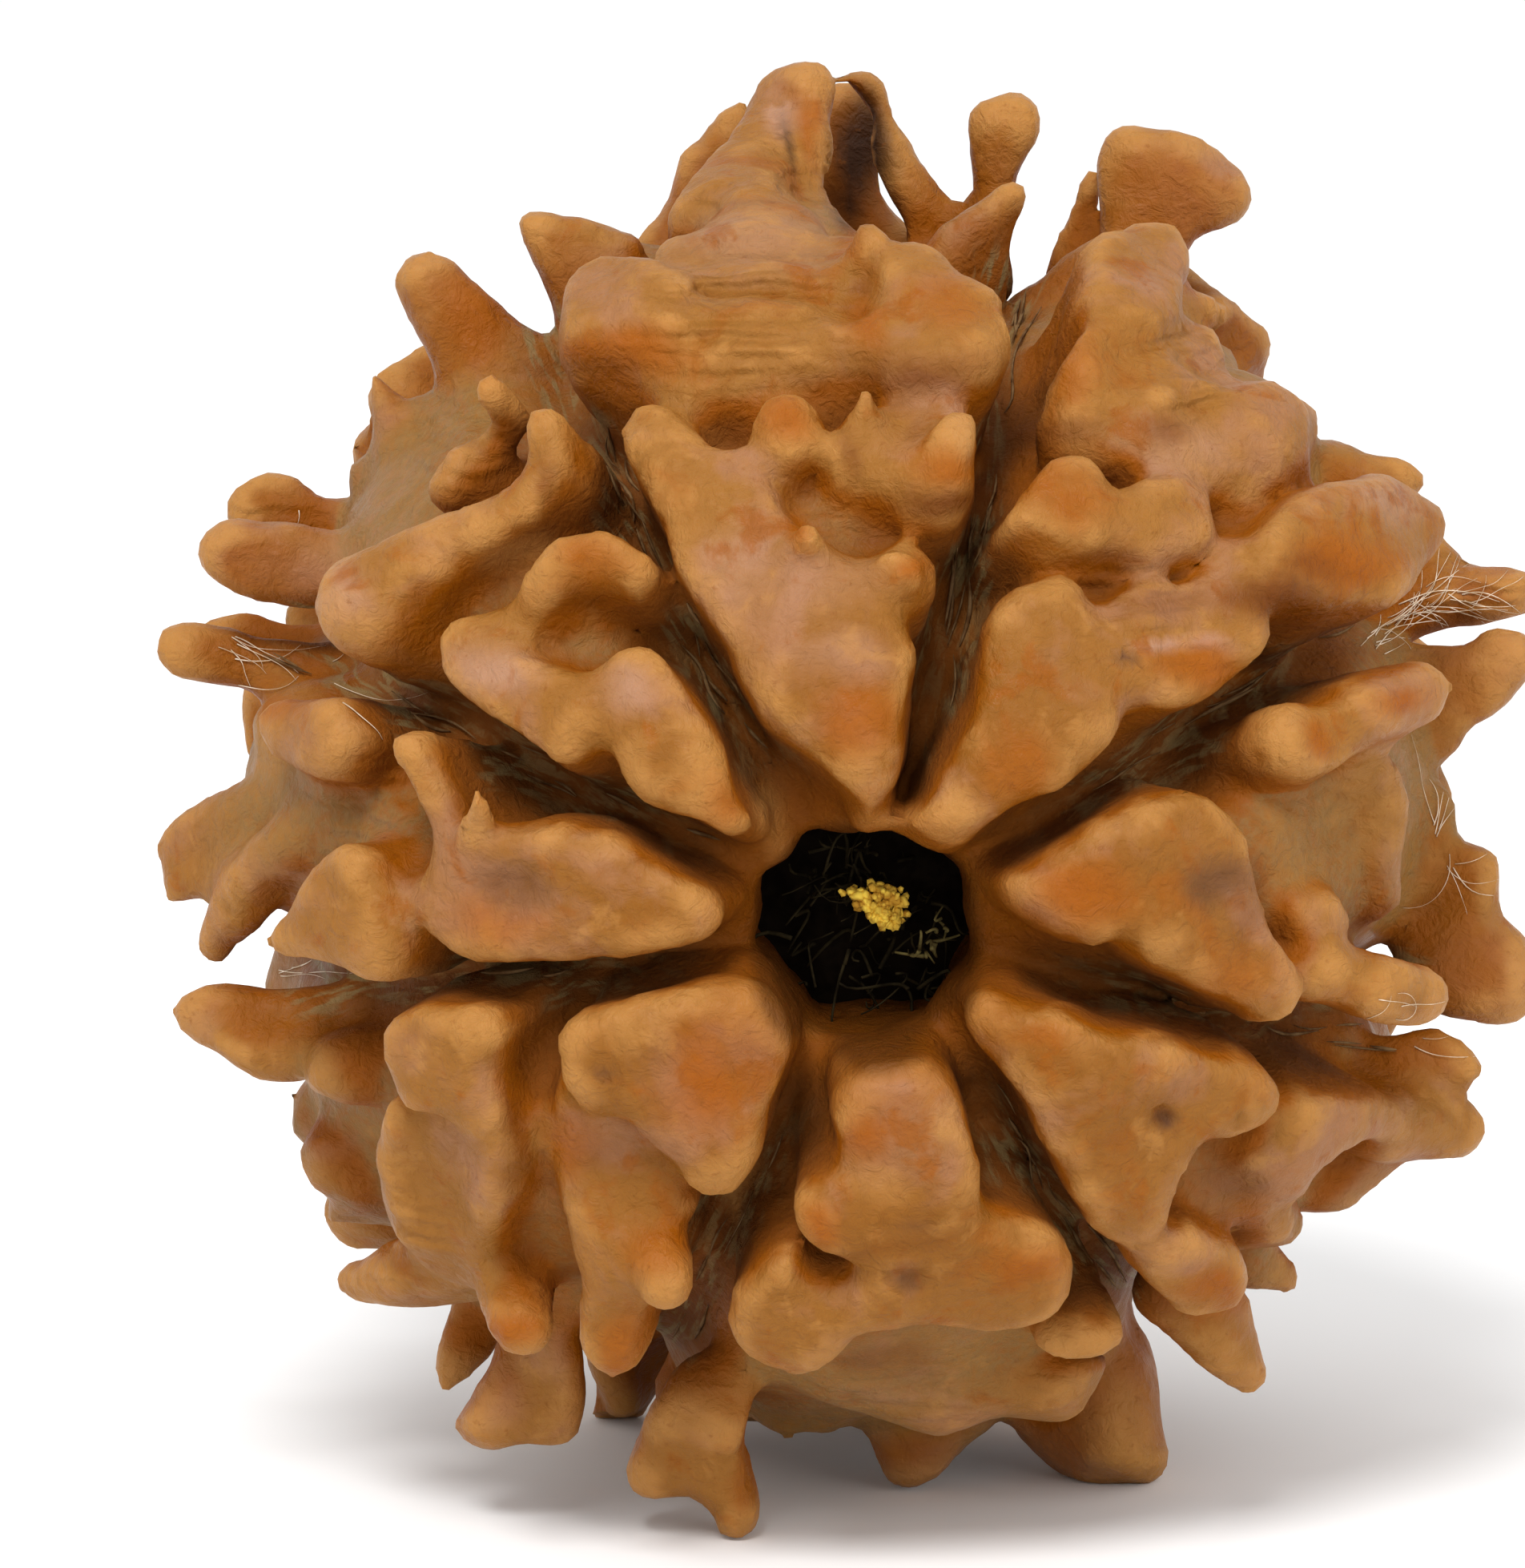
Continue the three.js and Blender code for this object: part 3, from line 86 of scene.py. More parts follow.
# Flat-topped islands on the faces: how far the top stands out, and the outline in the face view
plates = [
    {"rise": 1.9, "outline": ((1090, 1028), (1040, 958), (962, 893), (915, 820), (868, 745), (838, 665),
        (808, 590), (778, 545), (775, 510), (800, 490), (840, 505), (880, 545), (935, 560), (965, 610),
        (985, 660), (1060, 690), (1090, 715), (1110, 760), (1142, 815), (1132, 880), (1118, 960))},
    {"rise": 1.9, "outline": ((1140, 1030), (1200, 1045), (1255, 1012), (1335, 972), (1392, 918),
        (1412, 868), (1410, 805), (1370, 755), (1345, 722), (1290, 722), (1252, 760), (1238, 830),
        (1222, 890), (1205, 950), (1180, 1000))},
    {"rise": 1.9, "outline": ((1395, 800), (1400, 745), (1440, 722), (1500, 728), (1530, 705),
        (1550, 738), (1570, 790), (1555, 825), (1510, 865), (1460, 875), (1418, 850))},
    {"rise": 2.5, "outline": ((1580, 685), (1600, 645), (1640, 615), (1700, 592), (1760, 590),
        (1800, 615), (1822, 642), (1815, 668), (1795, 700), (1750, 738), (1700, 745), (1640, 735),
        (1595, 720))},
    {"rise": 2, "outline": ((1283, 1112), (1340, 1075), (1400, 1038), (1450, 1002), (1500, 982),
        (1530, 992), (1560, 1030), (1572, 1075), (1598, 1155), (1632, 1240), (1624, 1272), (1600, 1284),
        (1560, 1260), (1500, 1220), (1450, 1193), (1428, 1160), (1385, 1182), (1345, 1165),
        (1300, 1140))},
    {"rise": 2.1, "outline": ((1606, 918), (1620, 892), (1650, 880), (1680, 895), (1702, 925),
        (1695, 950), (1660, 958), (1622, 948))},
    {"rise": 2.4, "outline": ((1692, 882), (1706, 858), (1750, 838), (1800, 830), (1822, 848),
        (1815, 880), (1785, 902), (1722, 918))},
    {"rise": 2, "outline": ((1212, 1248), (1262, 1265), (1345, 1290), (1420, 1312), (1500, 1325),
        (1562, 1335), (1602, 1355), (1616, 1378), (1602, 1402), (1558, 1425), (1515, 1435), (1488, 1458),
        (1468, 1495), (1452, 1535), (1438, 1562), (1412, 1565), (1390, 1545), (1350, 1485), (1312, 1412),
        (1268, 1345), (1230, 1298))},
    {"rise": 2.2, "outline": ((1440, 1572), (1500, 1560), (1556, 1578), (1566, 1618), (1540, 1650),
        (1490, 1655), (1455, 1630))},
    {"rise": 1.5, "outline": ((1625, 1130), (1660, 1114), (1692, 1130), (1692, 1166), (1660, 1182),
        (1630, 1166))},
    {"rise": 1.8, "outline": ((1640, 1215), (1680, 1188), (1708, 1198), (1706, 1232), (1680, 1256),
        (1645, 1250))},
    {"rise": 2.2, "outline": ((1722, 1225), (1750, 1204), (1800, 1222), (1820, 1248), (1800, 1276),
        (1750, 1282), (1725, 1262))},
    {"rise": 1.7, "outline": ((1612, 1392), (1640, 1376), (1740, 1376), (1768, 1396), (1762, 1420),
        (1720, 1436), (1682, 1446), (1656, 1466), (1640, 1505), (1600, 1500), (1562, 1468),
        (1590, 1430))},
    {"rise": 2.1, "outline": ((1095, 1342), (1130, 1350), (1165, 1368), (1195, 1402), (1216, 1440),
        (1231, 1480), (1233, 1520), (1226, 1545), (1252, 1547), (1290, 1555), (1320, 1570), (1336, 1600),
        (1326, 1640), (1290, 1665), (1240, 1680), (1190, 1668), (1150, 1660), (1085, 1664), (1058, 1672),
        (1035, 1702), (1000, 1728), (940, 1708), (912, 1672), (925, 1632), (950, 1600), (985, 1592),
        (1000, 1630), (1045, 1635), (1085, 1612), (1090, 1590), (1040, 1582), (1005, 1562), (995, 1537),
        (1006, 1514), (1042, 1498), (1058, 1482), (1048, 1450), (1050, 1420), (1062, 1392),
        (1078, 1368))},
    {"rise": 2, "outline": ((692, 1295), (760, 1278), (850, 1265), (930, 1260), (978, 1278), (985, 1315),
        (968, 1365), (945, 1420), (920, 1470), (892, 1510), (865, 1500), (835, 1465), (800, 1425),
        (770, 1395), (722, 1390), (700, 1345))},
    {"rise": 1.5, "outline": ((692, 1345), (800, 1425), (840, 1480), (852, 1525), (800, 1560),
        (725, 1560), (702, 1500), (685, 1450), (680, 1390))},
    {"rise": 1.6, "outline": ((480, 1385), (600, 1390), (630, 1440), (615, 1510), (600, 1560),
        (540, 1592), (490, 1560), (470, 1500), (462, 1440))},
    {"rise": 1.9, "outline": ((532, 1172), (520, 1135), (535, 1085), (575, 1058), (625, 1042),
        (690, 1035), (745, 1052), (805, 1088), (860, 1122), (882, 1145), (868, 1167), (815, 1186),
        (745, 1196), (640, 1200), (572, 1195))},
    {"rise": 1.9, "outline": ((735, 840), (765, 805), (800, 800), (832, 830), (858, 885), (888, 945),
        (918, 998), (925, 1028), (900, 1038), (850, 1015), (800, 992), (776, 965), (768, 925),
        (740, 905))},
    {"rise": 2, "outline": ((535, 805), (548, 775), (588, 768), (625, 800), (680, 835), (738, 842),
        (742, 900), (705, 935), (680, 945), (640, 918), (585, 872), (548, 835))},
    {"rise": 2.3, "outline": ((465, 1310), (472, 1290), (520, 1276), (600, 1280), (612, 1302),
        (592, 1350), (590, 1398), (500, 1390), (480, 1360))},
    {"rise": 2.1, "outline": ((320, 1182), (380, 1090), (410, 1065), (440, 1075), (460, 1120),
        (480, 1180), (470, 1205), (440, 1212), (385, 1195))},
    {"rise": 2.2, "outline": ((690, 360), (705, 325), (745, 305), (800, 302), (842, 325), (855, 370),
        (838, 405), (790, 414), (700, 408))},
    {"rise": 1.5, "outline": ((820, 292), (1100, 292), (1105, 400), (1045, 440), (960, 482), (890, 472),
        (835, 430))},
    {"rise": 1.7, "outline": ((312, 885), (340, 866), (405, 878), (432, 912), (400, 958), (350, 962),
        (316, 930))},
    {"rise": 1.5, "outline": ((695, 395), (790, 400), (860, 435), (892, 480), (870, 500), (815, 485),
        (760, 458), (702, 435))},
    {"rise": 2.3, "outline": ((1110, 310), (1150, 285), (1172, 300), (1190, 330), (1250, 350),
        (1260, 400), (1240, 440), (1180, 460), (1110, 450), (1095, 380))},
    {"rise": 2, "outline": ((940, 520), (950, 492), (985, 480), (1010, 495), (1008, 540), (985, 562),
        (950, 555))},
    {"rise": 1.7, "outline": ((1052, 560), (1075, 520), (1130, 500), (1190, 490), (1220, 520),
        (1218, 580), (1195, 635), (1150, 640), (1090, 610))},
    {"rise": 2.4, "outline": ((1375, 290), (1420, 264), (1470, 275), (1495, 320), (1480, 370),
        (1450, 400), (1400, 400), (1370, 360))},
    {"rise": 1.8, "outline": ((1400, 405), (1470, 385), (1520, 400), (1545, 470), (1650, 500),
        (1650, 590), (1560, 625), (1450, 580), (1400, 545))},
    {"rise": 2.2, "outline": ((1552, 482), (1600, 475), (1640, 505), (1648, 560), (1600, 582),
        (1552, 562))},
    {"rise": 2.2, "outline": ((1270, 640), (1285, 600), (1320, 568), (1360, 560), (1385, 590),
        (1395, 640), (1370, 665), (1320, 660))},
    {"rise": 2.1, "outline": ((1398, 622), (1432, 597), (1482, 588), (1518, 604), (1528, 640),
        (1500, 678), (1440, 688), (1402, 668))},
    {"rise": 1.3, "outline": ((1470, 700), (1530, 640), (1560, 615), (1640, 595), (1650, 650),
        (1610, 700), (1575, 760), (1500, 745))},
    {"rise": 1.6, "outline": ((1088, 684), (1130, 668), (1160, 688), (1166, 714), (1150, 736),
        (1110, 736))},
]

# Ridges and knobs that stand straight out of the body: x, y in the face view, rise and half width in mm
ridges = [
    ((850, 392, 1.8, 0.22), (920, 368, 2, 0.26), (990, 378, 1.8, 0.2)),
    ((880, 438, 1.7, 0.2), (950, 412, 1.9, 0.24), (1015, 436, 1.7, 0.2)),
    ((880, 330, 1.8, 0.2), (950, 318, 1.9, 0.22), (1035, 335, 1.8, 0.2)),
    ((1095, 1025, 1.1, 0.3), (1145, 1042, 1, 0.28), (1200, 1040, 1.2, 0.3)),
    ((1125, 572, 2, 0.4), (1185, 560, 2.4, 0.45), (1202, 515, 2.5, 0.3)),
    ((1112, 695, 2.3, 0.35), (1138, 705, 2.3, 0.35)),
    ((1048, 545, 2, 0.22), (1052, 600, 1.6, 0.2)),
    ((900, 470, 1.2, 0.9), (1040, 470, 1.2, 0.8)),
    ((1052, 425, 1.7, 0.5), (1068, 405, 2.1, 0.38), (1100, 432, 1.9, 0.3), (1130, 445, 1.8, 0.3)),
    ((1320, 690, 1.3, 0.35), (1400, 690, 1.2, 0.3)),
    ((1415, 450, 2, 0.28), (1490, 462, 2.1, 0.25), (1560, 520, 2.2, 0.28)),
    ((1425, 520, 1.9, 0.25), (1480, 545, 2, 0.25), (1540, 575, 1.9, 0.25)),
    ((1540, 690, 1.8, 0.22), (1562, 740, 1.9, 0.25), (1568, 788, 2, 0.28)),
    ((1700, 935, 1.2, 0.5), (1742, 990, 1.2, 0.55), (1748, 1060, 1.2, 0.5), (1752, 1120, 1.1, 0.4)),
    ((1320, 1690, 1.7, 0.35), (1395, 1680, 1.8, 0.32)),
    ((722, 1490, 1.6, 0.45), (738, 1560, 2, 0.62), (756, 1640, 2.3, 0.66), (754, 1712, 2.5, 0.52)),
    ((485, 1392, 1.9, 0.3), (478, 1465, 1.9, 0.3), (515, 1550, 1.8, 0.4)),
    ((588, 1385, 2, 0.35), (616, 1440, 2, 0.35), (604, 1500, 2, 0.3), (590, 1570, 1.6, 0.35)),
    ((492, 932, 2.2, 0.35), (530, 1000, 1.9, 0.33), (545, 1060, 1.7, 0.33), (522, 1128, 1.7, 0.3)),
    ((640, 770, 1.6, 0.45), (668, 718, 2.2, 0.42), (705, 684, 2.4, 0.42), (745, 676, 2.4, 0.4),
     (780, 702, 2.2, 0.36)),
    ((662, 512, 2.5, 0.45), (672, 560, 2.2, 0.4), (642, 618, 1.9, 0.4), (560, 660, 1.9, 0.45),
     (482, 696, 2.2, 0.7), (415, 737, 2.4, 1)),
    ((545, 600, 1.3, 0.4), (590, 548, 1.3, 0.35)),
    ((462, 1200, 1.9, 0.3), (455, 1130, 2.2, 0.28), (436, 1080, 2.2, 0.25)),
]

# Fingers that lean: x, y in the face view, rise and radius in mm, from foot to tip
fingers = [
    ((1085, 530, 1.6, 0.32), (1081, 488, 2.3, 0.24)),
    ((1082, 335, 1.6, 0.4), (1082, 292, 2.3, 0.28)),
    ((1345, 545, 0.9, 0.75), (1352, 470, 1.6, 0.5), (1357, 418, 2, 0.3)),
    ((1010, 690, 1.5, 0.3), (1010, 668, 2.3, 0.3)),
    ((805, 1545, 1, 0.7), (830, 1606, 2.3, 0.48)),
    ((640, 1600, 1.2, 0.7), (655, 1658, 2.1, 0.55)),
    ((600, 1050, 1.5, 0.3), (598, 998, 2.4, 0.26)),
    ((645, 530, 1, 0.35), (611, 483, 2, 0.33)),
    ((1452, 530, 1.4, 0.3), (1440, 503, 1.9, 0.3)),
]

# Horns round the rim: x, y in the face view, depth towards the eye and radius in mm, from foot to tip
horns = [
    ((930, 360, 5, 0.9), (935, 300, 3.4, 0.9), (945, 240, 1.4, 0.6), (955, 190, 0, 0.4)),
    ((1000, 350, 4.8, 0.7), (1000, 310, 3.4, 0.5), (985, 270, 2.2, 0.3)),
    ((880, 290, 2.5, 0.7), (925, 210, 0.5, 0.6), (960, 130, -1, 0.5)),
    ((1032, 310, 2, 0.45), (1010, 230, 0.5, 0.24), (1012, 122, -0.5, 0.42)),
    ((1190, 310, 2, 0.5), (1265, 245, 2, 0.25)),
    ((1460, 400, -1, 0.5), (1530, 388, -2, 0.1)),
    ((1500, 440, -1, 0.3), (1540, 450, -1, 0.15)),
    ((1770, 690, 0, 0.5), (1830, 692, 0, 0.15)),
    ((1720, 1400, 3, 0.8), (1815, 1408, 2, 0.56)),
    ((1560, 1500, 4, 0.8), (1604, 1530, 3.5, 0.4)),
    ((1540, 1560, 2.5, 0.7), (1600, 1590, 2, 0.4), (1632, 1620, 1.5, 0.12)),
    ((1480, 1610, 4, 0.9), (1530, 1680, 3.5, 0.6), (1558, 1718, 3.3, 0.42)),
    ((1480, 1670, 2, 0.5), (1535, 1755, 2, 0.33)),
    ((1030, 1700, 1, 0.5), (1033, 1770, 1, 0.33)),
    ((950, 1740, 1, 0.35), (985, 1798, 1, 0.1)),
    ((800, 1600, -4, 0.8), (770, 1780, -5.5, 0.6), (768, 1808, -6, 0.55)),
    ((590, 1560, 4.5, 0.8), (500, 1588, 3.2, 0.52), (437, 1598, 2, 0.38)),
    ((640, 1580, 4, 0.5), (520, 1604, 2.5, 0.3)),
    ((690, 1640, 3.5, 0.5), (702, 1720, 3, 0.42), (700, 1785, 2.6, 0.38)),
    ((450, 1490, 2, 0.4), (412, 1520, 1, 0.26)),
    ((480, 1480, 1.5, 0.4), (457, 1524, 1, 0.25)),
    ((430, 1000, 5.2, 0.7), (340, 1075, 4.2, 0.5), (268, 1176, 2.5, 0.45)),
    ((430, 965, 4.2, 0.7), (330, 1000, 3, 0.6), (228, 1062, 1.5, 0.54)),
    ((330, 1080, 3.2, 0.45), (222, 1112, 1.6, 0.4)),
    ((470, 600, 1, 0.3), (445, 595, 1, 0.28)),
    ((1480, 1470, 6.5, 0.3), (1540, 1480, 5.8, 0.5), (1590, 1520, 4.5, 0.5)),
]

# Paddles round the rim: thin flaps that face the eye, with depth and thickness in mm
paddles = [
    {"depth": 2, "thick": 1.4, "outline": ((635, 275), (645, 260), (700, 262), (800, 290), (850, 420),
        (760, 470), (700, 420), (690, 370), (655, 320))},
    {"depth": -2.5, "thick": 1, "outline": ((790, 400), (800, 300), (850, 205), (905, 130), (940, 125),
        (960, 400))},
    {"depth": -1, "thick": 1, "outline": ((860, 380), (870, 300), (925, 200), (940, 110), (960, 88),
        (1000, 74), (1030, 82), (1044, 120), (1030, 190), (1000, 210), (1000, 380))},
    {"depth": -1.5, "thick": 0.8, "outline": ((1040, 95), (1055, 78), (1090, 88), (1110, 113),
        (1117, 160), (1135, 195), (1170, 212), (1205, 260), (1200, 400), (1120, 400), (1112, 270),
        (1100, 200), (1085, 135), (1060, 108))},
    {"depth": -3.6, "thick": 0.7, "outline": ((985, 125), (1060, 92), (1100, 120), (1120, 220),
        (1140, 400), (985, 400))},
    {"depth": -1, "thick": 0.9, "outline": ((1207, 200), (1207, 145), (1222, 120), (1275, 116),
        (1295, 145), (1292, 180), (1275, 225), (1265, 380), (1200, 380))},
    {"depth": 1.5, "thick": 0.8, "outline": ((1180, 295), (1274, 225), (1272, 260), (1262, 340),
        (1250, 400), (1180, 400))},
    {"depth": -1, "thick": 1.2, "outline": ((1340, 420), (1370, 300), (1380, 200), (1402, 162),
        (1450, 160), (1560, 212), (1567, 245), (1545, 275), (1500, 305), (1460, 420))},
    {"depth": -2, "thick": 0.7, "outline": ((1300, 400), (1318, 300), (1345, 230), (1378, 200),
        (1390, 400))},
    {"depth": 1, "thick": 1.6, "outline": ((1480, 540), (1540, 466), (1600, 483), (1640, 510),
        (1645, 560), (1550, 600))},
    {"depth": 0, "thick": 1.2, "outline": ((1600, 600), (1650, 540), (1700, 562), (1750, 567),
        (1785, 600), (1700, 660))},
    {"depth": 1.5, "thick": 1.2, "outline": ((1815, 955), (1680, 900), (1680, 820), (1830, 800),
        (1860, 780), (1915, 785), (1925, 830), (1900, 870), (1860, 897), (1835, 905))},
    {"depth": 0.5, "thick": 1.2, "outline": ((1720, 745), (1800, 714), (1860, 703), (1915, 710),
        (1920, 768), (1860, 778), (1790, 790), (1720, 800))},
    {"depth": 2, "thick": 1, "outline": ((1752, 1062), (1765, 1012), (1790, 984), (1812, 975),
        (1827, 1010), (1828, 1050), (1850, 1052), (1875, 1065), (1880, 1085), (1868, 1110), (1862, 1136),
        (1840, 1136), (1790, 1130), (1700, 1110))},
    {"depth": 1.5, "thick": 1.4, "outline": ((1740, 1140), (1840, 1128), (1900, 1165), (1925, 1210),
        (1905, 1278), (1840, 1275), (1795, 1262), (1740, 1240))},
    {"depth": 2.5, "thick": 0.8, "outline": ((1700, 1300), (1740, 1290), (1790, 1276), (1828, 1300),
        (1860, 1332), (1858, 1354), (1830, 1360), (1760, 1350), (1700, 1360))},
    {"depth": 2, "thick": 0.8, "outline": ((1600, 1500), (1640, 1430), (1700, 1424), (1760, 1434),
        (1748, 1462), (1725, 1485), (1700, 1500), (1650, 1512))},
    {"depth": 3.4, "thick": 2.4, "outline": ((1040, 1690), (1200, 1670), (1330, 1680), (1400, 1690),
        (1350, 1760), (1320, 1772), (1250, 1776), (1200, 1792), (1150, 1784), (1100, 1757),
        (1050, 1738))},
    {"depth": -1, "thick": 3.4, "outline": ((1290, 1640), (1340, 1600), (1400, 1640), (1432, 1692),
        (1448, 1740), (1455, 1820), (1440, 1845), (1385, 1853), (1345, 1848), (1322, 1815),
        (1308, 1785))},
    {"depth": -1.2, "thick": 1.2, "outline": ((1200, 1640), (1300, 1620), (1350, 1760), (1360, 1852),
        (1305, 1832), (1245, 1776))},
    {"depth": -0.3, "thick": 1.4, "outline": ((1060, 1600), (1083, 1740), (1090, 1800), (1106, 1852),
        (1136, 1872), (1172, 1852), (1212, 1802), (1245, 1776), (1260, 1600))},
    {"depth": 4, "thick": 1, "outline": ((812, 1792), (822, 1750), (850, 1704), (890, 1680), (950, 1705),
        (940, 1760), (932, 1800), (922, 1832), (890, 1806), (850, 1799))},
    {"depth": 3.2, "thick": 1.5, "outline": ((782, 1825), (822, 1750), (860, 1700), (905, 1720),
        (940, 1842), (950, 1895), (932, 1934), (898, 1930), (882, 1890), (855, 1862), (800, 1869),
        (785, 1848))},
    {"depth": 0.8, "thick": 0.9, "outline": ((722, 1790), (720, 1720), (770, 1720), (782, 1790),
        (778, 1822), (752, 1833), (726, 1822))},
    {"depth": 2, "thick": 1, "outline": ((374, 1440), (395, 1410), (430, 1394), (500, 1400), (540, 1450),
        (480, 1475), (430, 1493), (395, 1490), (378, 1468))},
    {"depth": 0, "thick": 0.7, "outline": ((350, 1352), (470, 1360), (440, 1440), (385, 1430),
        (365, 1422))},
    {"depth": 2.5, "thick": 1.4, "outline": ((560, 1778), (575, 1750), (610, 1708), (640, 1640),
        (690, 1640), (708, 1700), (712, 1790), (690, 1806), (640, 1812), (600, 1817), (568, 1799))},
    {"depth": 0, "thick": 0.8, "outline": ((545, 1690), (560, 1610), (620, 1590), (640, 1650),
        (605, 1702), (570, 1730), (553, 1757), (543, 1730))},
    {"depth": 2, "thick": 1.2, "outline": ((488, 350), (500, 325), (530, 310), (560, 318), (600, 350),
        (640, 400), (690, 432), (740, 490), (680, 560), (600, 540), (545, 480), (535, 440), (505, 400))},
    {"depth": 1.5, "thick": 1, "outline": ((455, 465), (470, 460), (500, 500), (540, 500), (600, 520),
        (600, 640), (500, 660), (468, 600), (460, 530))},
    {"depth": 0, "thick": 0.8, "outline": ((278, 640), (285, 610), (330, 590), (370, 592), (395, 615),
        (470, 640), (470, 720), (300, 700))},
    {"depth": 2.5, "thick": 1.2, "outline": ((245, 690), (255, 665), (290, 648), (330, 655), (380, 650),
        (450, 690), (450, 760), (340, 762), (300, 755), (260, 725))},
    {"depth": 1.5, "thick": 1, "outline": ((197, 800), (210, 782), (250, 780), (350, 798), (450, 810),
        (450, 890), (330, 870), (270, 852), (220, 847))},
    {"depth": -0.5, "thick": 0.7, "outline": ((246, 778), (300, 765), (350, 768), (440, 790), (440, 840),
        (260, 810))},
    {"depth": 3.2, "thick": 2, "outline": ((310, 905), (330, 872), (400, 850), (480, 870), (480, 940),
        (430, 985), (340, 966), (312, 942))},
    {"depth": 3, "thick": 1.2, "outline": ((213, 1262), (215, 1245), (250, 1235), (330, 1225),
        (400, 1232), (500, 1235), (500, 1300), (300, 1302), (268, 1306), (225, 1286))},
    {"depth": 3.5, "thick": 1.2, "outline": ((262, 1302), (300, 1286), (400, 1280), (430, 1320),
        (365, 1350), (322, 1356), (288, 1332))},
    {"depth": 4.5, "thick": 1.4, "outline": ((374, 1352), (395, 1300), (450, 1280), (510, 1300),
        (500, 1370), (440, 1380), (400, 1372))},
]

# The whole stone's outline in the face view
skyline = [
    (945, 95), (985, 75), (1020, 75), (1085, 82), (1110, 100), (1135, 180), (1170, 213), (1205, 200),
    (1207, 145), (1250, 113), (1295, 145), (1275, 225), (1290, 325), (1318, 300), (1345, 230),
    (1402, 162), (1450, 160), (1560, 212), (1567, 245), (1497, 305), (1475, 385), (1535, 382),
    (1545, 465), (1600, 485), (1640, 510), (1700, 562), (1750, 567), (1820, 630), (1810, 680),
    (1904, 710), (1925, 830), (1860, 897), (1800, 965), (1830, 1055), (1870, 1055), (1860, 1130),
    (1925, 1210), (1905, 1275), (1850, 1300), (1850, 1405), (1755, 1447), (1700, 1500), (1600, 1555),
    (1570, 1630), (1580, 1720), (1535, 1765), (1430, 1665), (1455, 1820), (1380, 1853), (1300, 1815),
    (1250, 1780), (1140, 1848), (1085, 1790), (985, 1780), (950, 1765), (945, 1880), (925, 1903),
    (800, 1868), (720, 1830), (700, 1790), (600, 1817), (545, 1755), (520, 1620), (415, 1595),
    (375, 1440), (350, 1355), (230, 1270), (220, 1230), (300, 1195), (175, 1100), (330, 960), (310, 860),
    (205, 820), (330, 770), (250, 690), (310, 610), (390, 600), (480, 540), (445, 465), (515, 500),
    (500, 330), (545, 320), (650, 400), (690, 430), (700, 350), (640, 275), (800, 290), (860, 180),
    (905, 130),
]


# Places in the face view

tilt = faceView["tilt"]
towardsEye = np.array([0, -math.cos(tilt), math.sin(tilt)])
viewRight = np.array([1.0, 0, 0])
viewUp = np.array([0, math.sin(tilt), math.cos(tilt)])
eye = (towardsEye * faceView["distance"]
       + viewRight * (faceView["middle"][0] - faceView["body"][0]) / faceView["unitsPerMm"]
       + viewUp * (faceView["body"][1] - faceView["middle"][1]) / faceView["unitsPerMm"])


def viewRay(x, y):
    across = (x - faceView["middle"][0]) / faceView["unitsPerMm"]
    up = (faceView["middle"][1] - y) / faceView["unitsPerMm"]
    return -towardsEye * faceView["distance"] + viewRight * across + viewUp * up


def atDepth(x, y, depth):
    return eye + viewRay(x, y) * (1 - depth / faceView["distance"])


def atRise(x, y, rise):
    ray = viewRay(x, y)
    size = np.array([stone["girth"] + rise, stone["half"] + rise, stone["girth"] + rise])
    start, along = eye / size, ray / size
    a = along @ along
    b = start @ along
    reach = b * b - a * (start @ start - 1)
    return eye + ray * (-b - math.sqrt(max(reach, 0))) / a


# The body, as distances from its centre

def ovalRadius(unit):
    x, y, z = unit.T
    oval = 1 / np.hypot(np.hypot(x, z) / stone["girth"], y / stone["half"])
    fromBore = np.hypot(x * oval - stone["boreAt"][0], z * oval - stone["boreAt"][1])
    return oval - stone["funnelDepth"] * np.exp(-((fromBore / stone["funnelReach"]) ** 2))


def besideClefts(dx, dz, y):
    angle = np.degrees(np.arctan2(dz, dx)) + 1.6 * np.sin(5 * y)
    after = np.searchsorted(clefts, angle) % len(clefts)
    past = (angle - clefts[after - 1]) % 360
    left = (clefts[after] - angle) % 360
    return past, left


def fromCleft(unit, oval):
    dx = unit[:, 0] * oval - stone["boreAt"][0]
    dz = unit[:, 2] * oval - stone["boreAt"][1]
    past, left = besideClefts(dx, dz, unit[:, 1])
    return past, left, np.radians(np.minimum(past, left)) * np.hypot(dx, dz), np.hypot(dx, dz)


def smoothStep(value, low, high):
    t = np.clip((value - low) / (high - low), 0, 1)
    return t * t * (3 - 2 * t)


def bodyRadius(unit):
    oval = ovalRadius(unit)
    past, left, away, fromBore = fromCleft(unit, oval)
    swell = stone["swell"] * np.hypot(unit[:, 0], unit[:, 2]) * np.sin(np.pi * past / (past + left))
    ground = smoothStep(fromBore, stone["mouthRadius"], stone["mouthRadius"] + stone["terraceStart"])
    ground *= 1 - smoothStep(fromBore, *stone["terraceEnd"])
    inCleft = np.exp(-((away / stone["cleftWidth"]) ** 2))
    return oval + swell + stone["terrace"] * ground * (1 - inCleft) - stone["cleftDepth"] * inCleft


# Shapes of the relief, each as a signed distance

def smoothMin(a, b, k):
    h = np.maximum(k - np.abs(a - b), 0) / k
    return np.minimum(a, b) - h * h * k * 0.25


